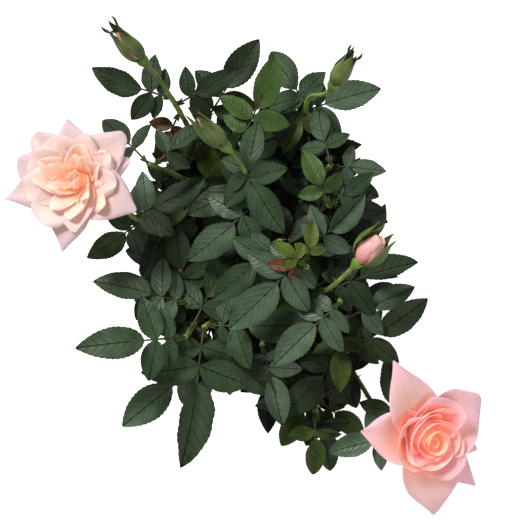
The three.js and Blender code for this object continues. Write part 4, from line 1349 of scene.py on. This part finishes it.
def petal_finish(name, foot, middle, rim, painted_glow, middle_from=0.12, rim_from=0.55):
    """A petal material: three colours from the claw to the rim, faint ribs, some subsurface scattering, and a
    painted glow: the petal's own colour given off as light, standing in for light that comes through it."""
    material = finish(name, rim, rim, (0.45, 0.6), 45, fine=22, relief=0.12, depth=0.1)
    tree = material.node_tree
    take = partial(maths, tree)
    place = add(tree, "ShaderNodeUVMap").outputs[0]
    part = add(tree, "ShaderNodeSeparateXYZ", {0: place}).outputs
    aside = take("POWER", take("ABSOLUTE", take("MULTIPLY_ADD", part["X"], 2.0, -1.0)), 5.0)
    along = take("MULTIPLY_ADD", tree.nodes["pattern"].outputs["Mask"], 0.16, part["Y"])
    along = take("MULTIPLY_ADD", aside, 0.35, along)
    colour = mixed(tree, ramp(tree, along, middle_from, rim_from), foot, middle)
    colour = mixed(tree, ramp(tree, along, rim_from, 1.08), colour, rim)
    # Painted glow: the petal shines in its own colour, which lightens its shaded folds and cups.
    looks = {"Base Color": colour, "Emission Color": colour, "Emission Strength": painted_glow}
    looks |= {"Subsurface Weight": 0.4, "Subsurface Radius": (0.0025, 0.0015, 0.0012)}
    looks |= {"Subsurface Scale": 1.0, "Sheen Weight": 0.12, "Sheen Roughness": 0.5}
    wired(tree, tree.nodes[SHADER], looks)
    ribs = add(tree, "ShaderNodeVectorMath", {0: place, 1: (1.6, 0.22, 1.0)}, operation="MULTIPLY")
    fan = add(tree, "ShaderNodeTexNoise", {"Vector": ribs.outputs[0], "Scale": 9.0, "Detail": 3.0})
    embossed(tree, fan.outputs["Fac"], 0.5, 0.8)
    return material


def ring(flower, count, length, width, leans, start, uneven=0.06, **shape):
    """Petals evenly round a flower, each a little unlike the next."""
    petals = []
    for i in range(count):
        vary = 1 + uneven * math.sin(2.4 * i + start)
        turn = start + 360 * i / count + 110 * uneven * math.sin(1.7 * i + start)
        tilt = [lean + 60 * uneven * math.sin(3.1 * i + start) for lean in leans]
        petals.append(petal(flower, turn, length * vary, width, tilt, seed=1.9 * i + start, **shape))
    return petals


def placed(flower, points, faces):
    """A shape made up the Z axis, set on a flower's foot along its axis."""
    foot, facing, first, second = flower
    return [plus(plus(plus(foot, first, x), second, y), facing, z) for x, y, z in points], faces


def bud_body(girth, length, lift=0.0):
    """A furled cone of petals: an egg drawn out to a point."""
    shares = [(0.35, 0.0), (0.7, 0.12), (0.95, 0.28), (1.0, 0.42), (0.86, 0.58), (0.6, 0.74)]
    shares += [(0.32, 0.88), (0.1, 0.97)]
    outline = [(AXIS, 0.0)] + [(girth * r, length * h) for r, h in shares] + [(AXIS, length)]
    points, faces = turned(outline, 20)
    return [(x, y, z + lift) for x, y, z in points], faces


left = flower_frame(*BLOOMS["bloom_left"])
right = flower_frame(*BLOOMS["bloom_right"])
# The furled middle of the left bloom: girth and length
CORE = (5.2, 15.5)
# Petals one by one: heading, length, width, how far the end narrows, and how far its edges roll
LEFT_OUTER = [
    (99, 33, 27, 0.85, 3.5),
    (42, 36, 28, 0.6, 3.0),
    (20, 31, 20, 0.7, 3.0),
    (-26, 37, 33, 0.8, 4.0),
    (-101, 38, 28, 0.9, 4.0),
    (193, 41, 24, 0.92, 3.0),
    (164, 35, 26, 0.4, 3.0),
    (134, 35, 26, 0.6, 3.0),
]
LEFT_MIDDLE = [
    (120, 28, 26, 0.3, 2.0),
    (70, 29, 25, 0.7, 3.0),
    (30, 27, 22, 0.3, 5.0),
    (-4, 27, 24, 0.5, 4.5),
    (-86, 31, 27, 0.75, 3.0),
    (-128, 31, 28, 0.3, 2.0),
    (190, 30, 24, 0.3, 2.0),
    (152, 29, 25, 0.3, 2.0),
]
RIGHT_OUTER = [
    (113, 50, 29, 0.9, 4.5),
    (171, 36, 36, 0.9, 5.5),
    (-81, 46, 38, 0.8, 4.0),
    (-46, 44, 21, 0.9, 4.0),
    (30, 38, 44, 0.7, 3.5),
    (-19, 34, 24, 0.8, 3.5),
]
RIGHT_MIDDLE = [
    (60, 30, 30, 0.1, 2.0),
    (-50, 31, 28, 0.3, 2.5),
]


def petals_of(flower, rows, leans, cup, wave):
    """Petals from a table like those above."""
    petals = []
    for heading, length, width, point, roll in rows:
        shape = {"top": 0.1, "point": point, "roll": roll, "wave": wave, "seed": heading}
        petals.append(petal(flower, heading, length, width, leans, cup, **shape))
    return petals


left_outer = petals_of(left, LEFT_OUTER, (24, 50, 76, 90, 116), 1.5, 0.7)
left_middle = petals_of(left, LEFT_MIDDLE, (26, 42, 50, 58, 92), 1.3, 0.7)
folded = {"cup": 1.12, "tuck": 1.4, "point": 0.4}
left_inner = ring(left, 7, 26, 18, (30, 43, 43, 42, 68), 20, 0.09, roll=1.4, wave=1.0, **folded)
left_inner += ring(left, 6, 24.5, 14, (24, 33, 30, 26, 52), 75, 0.13, roll=0.8, wave=1.2, **folded)
left_heart = ring(left, 6, 22, 8, (18, 20, 14, 10, 40), 40, 0.2, wave=1.2, tuck=1.2, claw=1.4, point=0.6)
left_heart += ring(left, 5, 21, 6, (10, 9, 4, -2, 26), 12, 0.3, wave=0.8, tuck=1.0, claw=1.1, point=0.5)
left_heart += ring(left, 3, 19, 5, (6, -4, -8, -6, 16), 50, 0.1, tuck=0.8, claw=0.9)
left_heart += ring(left, 4, 18, 7, (6, 4, 0, -4, 6), 330, 0.08, tuck=0.6, claw=0.5)
right_outer = petals_of(right, RIGHT_OUTER, (24, 46, 72, 90, 120), 1.5, 0.6)
right_middle = petals_of(right, RIGHT_MIDDLE, (34, 40, 42, 44, 76), 1.2, 0.6)
shut = {"cup": 1.9, "top": 0.3, "point": 0.4, "wave": 1.1}
right_rims = [
    petal(right, 127, 26, 25, (50, 34, 22, 20, 70), seed=1, **shut),
    petal(right, 226, 27, 29, (44, 26, 14, 14, 70), seed=4, **shut),
]
heart = flower_frame(right[0], plus(right[1], (1, -0.25, 0), 0.13))
wrapped = {"cup": 1.0, "top": 0.12, "wave": 0.5}
right_inner = ring(heart, 3, 28, 40, (52, 47, 36, 24, 44), 62, 0.03, roll=0.8, tuck=1.8, point=0.3, **wrapped)
right_inner += ring(heart, 3, 26, 33, (46, 36, 24, 14, 30), 10, 0.03, tuck=1.6, point=0.2, **wrapped)
right_inner += ring(heart, 3, 24.5, 25, (36, 27, 15, 8, 20), 300, 0.03, tuck=1.5, point=0.12, **wrapped)
tight = {"cup": 1.0, "top": 0.14}
right_heart = ring(heart, 3, 24, 17, (26, 16, 6, 2, 12), 85, 0.04, wave=0.4, tuck=1.3, claw=1.5, **tight)
right_heart += ring(heart, 3, 23, 11, (14, 8, 2, 0, 6), 30, 0.04, wave=0.3, tuck=0.9, claw=1.2, **tight)
# Each finish: foot, middle and rim colours, the strength of its painted glow, and where the middle and rim
# begin.
blush = petal_finish("blush_petal", "d8967f", "dfb6ab", "dfc0c8", 0.085, 0.25, 0.65)
shell = petal_finish("shell_petal", "f0b08a", "efc6b2", "ebcbc8", 0.11)
apricot = petal_finish("apricot_petal", "f9b68c", "fbc9aa", "fbdccd", 0.14, rim_from=0.6)
peach = petal_finish("peach_petal", "fab286", "fdc6a4", "fedbc8", 0.15, rim_from=0.55)
# The right bloom's outer petals have a deep salmon foot: partly their own colour, partly painted shade at
# their base under the inner petals.
rose_outer = petal_finish("rose_outer_petal", "d67562", "f3b5a6", "fcc0d0", 0.13, 0.22, 0.6)
rose_middle = petal_finish("rose_middle_petal", "f3866c", "f7a08f", "fdbec5", 0.12)
rose_rim = petal_finish("rose_rim_petal", "ee8470", "f2a198", "fdd2d6", 0.12, rim_from=0.6)
salmon = petal_finish("salmon_petal", "fa9274", "fca38f", "fec4ba", 0.17, rim_from=0.66)
coral = petal_finish("coral_petal", "fc9066", "fda680", "fec4ac", 0.18, rim_from=0.66)
for name, petals, material in [
    ("bloom_left_outer", left_outer, blush),
    ("bloom_left_middle", left_middle, shell),
    ("bloom_left_inner", left_inner, apricot),
    ("bloom_left_heart", left_heart, peach),
    ("bloom_right_outer", right_outer, rose_outer),
    ("bloom_right_middle", right_middle, rose_middle),
    ("bloom_right_rims", right_rims, rose_rim),
    ("bloom_right_inner", right_inner, salmon),
    ("bloom_right_heart", right_heart, coral),
]:
    bloom = name.rpartition("_")[0]
    slot = "petals_pale" if bloom == "bloom_left" else "petals_salmon"
    fitted(petal_piece(name, petals), material, slot, bloom)
core = made("bloom_left_core", *placed(left, *bud_body(*CORE)))
fitted(core, peach, "petals_pale", "bloom_left")

# Under each bloom five sepals are bent right back. A bud is still wrapped in its sepals, whose leafy
# tips stand free beyond it; the opening one shows a furled pink cone.
HIP_OUTLINE = [(AXIS, -2.4), (1.15, -2.2), (1.7, -0.6), (2.9, 1.4), (3.3, 3.4), (2.8, 5.2)]
HIP_OUTLINE += [(2.2, 6.2), (AXIS, 6.3)]
SEPAL_THICK = 0.4
BUD_LIFT = 4.6
BUD_SHORT = 4.2
# Where the sepals stand round a bud, and how they lean. The opening one shows its petals on the side
# that is looked at.
SHUT_SEPALS = [30, 102, 174, 246, 318]
SHUT_LEANS = (44, 8, -12, -10, 4)
OPEN_SEPALS = [95, 162, 35, 292, 345]
OPEN_LEANS = (60, 30, -6, -16, 10)
SEPAL_WIDTHS = {"bud_top_left": 1.5, "bud_top_right": 1.8, "bud_centre": 2.2, "bud_pink": 1.15}
# Petals of the opening bud: how many, length, width, how they lean, first heading
FURLED = [
    (3, 17.5, 17, (50, 28, -4, -24, -16), 226),
    (3, 18.0, 13, (38, 18, -3, -16, -12), 60),
    (2, 18.2, 9, (22, 10, -2, -10, -8), 30),
]


def hip(flower, girth, round_off):
    """The green hip under a flower."""
    outline = [(radius * girth, height) for radius, height in HIP_OUTLINE]
    return placed(flower, *turned(rounded(outline, round_off), 18))


hips, sepals, cones, furled = [], [], [], []
for place in BLOOMS.values():
    flower = flower_frame(*place)
    hips.append(hip(flower, 1, 1.2))
    for i in range(5):
        shape = {"claw": 1.8, "point": 0.9, "lift": 3.4, "wave": 0.6, "seed": i}
        sepals.append(petal(flower, 20 + 72 * i, 19, 6, (50, 105, 135, 150), 2, **shape))
for name, (foot, tip, girth) in BUDS.items():
    flower = flower_frame(foot, minus(tip, foot))
    hips.append(hip(flower, 0.94, 1.1))
    length = math.dist(foot, tip)
    opening = name == "bud_pink"
    headings, leans = (OPEN_SEPALS, OPEN_LEANS) if opening else (SHUT_SEPALS, SHUT_LEANS)
    for i, heading in enumerate(headings):
        long = (1.18 if i % 2 else 1.0) * length
        shape = {"claw": 2.0, "point": 0.92, "lift": BUD_LIFT - 0.6, "wave": 0.2, "seed": i}
        sepals.append(petal(flower, heading, long, SEPAL_WIDTHS[name] * girth, leans, 1.05, **shape))
    if opening:
        shape = {"cup": 1.0, "lift": BUD_LIFT, "tuck": 0.7, "top": 0.14, "claw": 1.9}
        for row in FURLED:
            furled += ring(flower, *row, 0.03, **shape)
    else:
        cones.append(placed(flower, *bud_body(girth * 0.82, length - BUD_SHORT, BUD_LIFT)))
calyx = finish("calyx_green", "5f7c2c", "829a40", (0.42, 0.58), 130, stretch=0.6, relief=0.3, depth=0.15)
sepal_green = finish("sepal_green", "465c26", "728440", (0.45, 0.6), 120, relief=0.3, depth=0.15)
bud_rose = petal_finish("bud_petal", "e98f83", "eda79f", "f3c2bd", 0.12)
fitted(made("hips", *joined(hips)), calyx, "calyx", *BLOOMS, *BUDS)
fitted(petal_piece("sepals", sepals, SEPAL_THICK), sepal_green, "calyx", *BLOOMS, *BUDS)
closed = [name for name in BUDS if name != "bud_pink"]
fitted(made("bud_cones", *joined(cones)), bud_rose, "petals_salmon", *closed)
fitted(petal_piece("bud_pink_petals", furled), bud_rose, "petals_salmon", "bud_pink")

# The studio: a white paper floor, lit a little from behind, a dim pale sky all round, and two broad
# lamps above. The camera looks straight down, as the photograph does.
CAMERA_HEIGHT = 1185
CAMERA_AIM = (-6.2, -1.0)
CAMERA_LENS = 143.1
FLOOR_REACH = 3000
SKY = 0.2
BACKLIGHT = 0.8
WHITE = (1, 1, 1, 1)
# Lamps: name, place, width in metres and power. They are turned to the middle of the plant.
LAMP_AIM = (0, 0, 0.12)
LAMPS = [
    ("key_light", (-1.6, 1.85, 2.5), 1.0, 114),
    ("fill_light", (1.5, -1.7, 1.9), 1.6, 26),
]

corners = [(-1, -1), (1, -1), (1, 1), (-1, 1)]
floor = made("floor", [(x * FLOOR_REACH, y * FLOOR_REACH, -0.2) for x, y in corners], [[0, 1, 2, 3]])
paper = bpy.data.materials.new("floor_paper")
sky = bpy.data.worlds.new("sky")
plain = {"Base Color": (0.8, 0.8, 0.8, 1), "Roughness": 0.9, "Emission Color": WHITE}
# How strongly the paper and the sky shine: more where the camera sees them, and least elsewhere
for thing, shader, inputs, strength, more, least in [
    (paper, SHADER, plain, "Emission Strength", BACKLIGHT, 0.0),
    (sky, "Background", {"Color": WHITE}, "Strength", 1 - SKY, SKY),
]:
    thing.use_nodes = True
    tree = thing.node_tree
    seen = add(tree, "ShaderNodeLightPath").outputs["Is Camera Ray"]
    wired(tree, tree.nodes[shader], {**inputs, strength: maths(tree, "MULTIPLY_ADD", seen, more, least)})
floor.data.materials.append(paper)
scene = bpy.context.scene
scene.world = sky
for name, place, size, power in LAMPS:
    lamp = bpy.data.lights.new(name, "AREA")
    lamp.shape = "SQUARE"
    lamp.size = size
    lamp.energy = power
    light = bpy.data.objects.new(name, lamp)
    light.location = place
    light.rotation_euler = (Vector(LAMP_AIM) - Vector(place)).to_track_quat("-Z", "Y").to_euler()
    scene.collection.objects.link(light)
lens = bpy.data.cameras.new("camera")
lens.lens = CAMERA_LENS
lens.sensor_width = 36
lens.clip_start = 0.05
camera = bpy.data.objects.new("camera", lens)
camera.location = (CAMERA_AIM[0] * MM, CAMERA_AIM[1] * MM, CAMERA_HEIGHT * MM)
scene.collection.objects.link(camera)
scene.camera = camera
scene.view_settings.view_transform = "Standard"
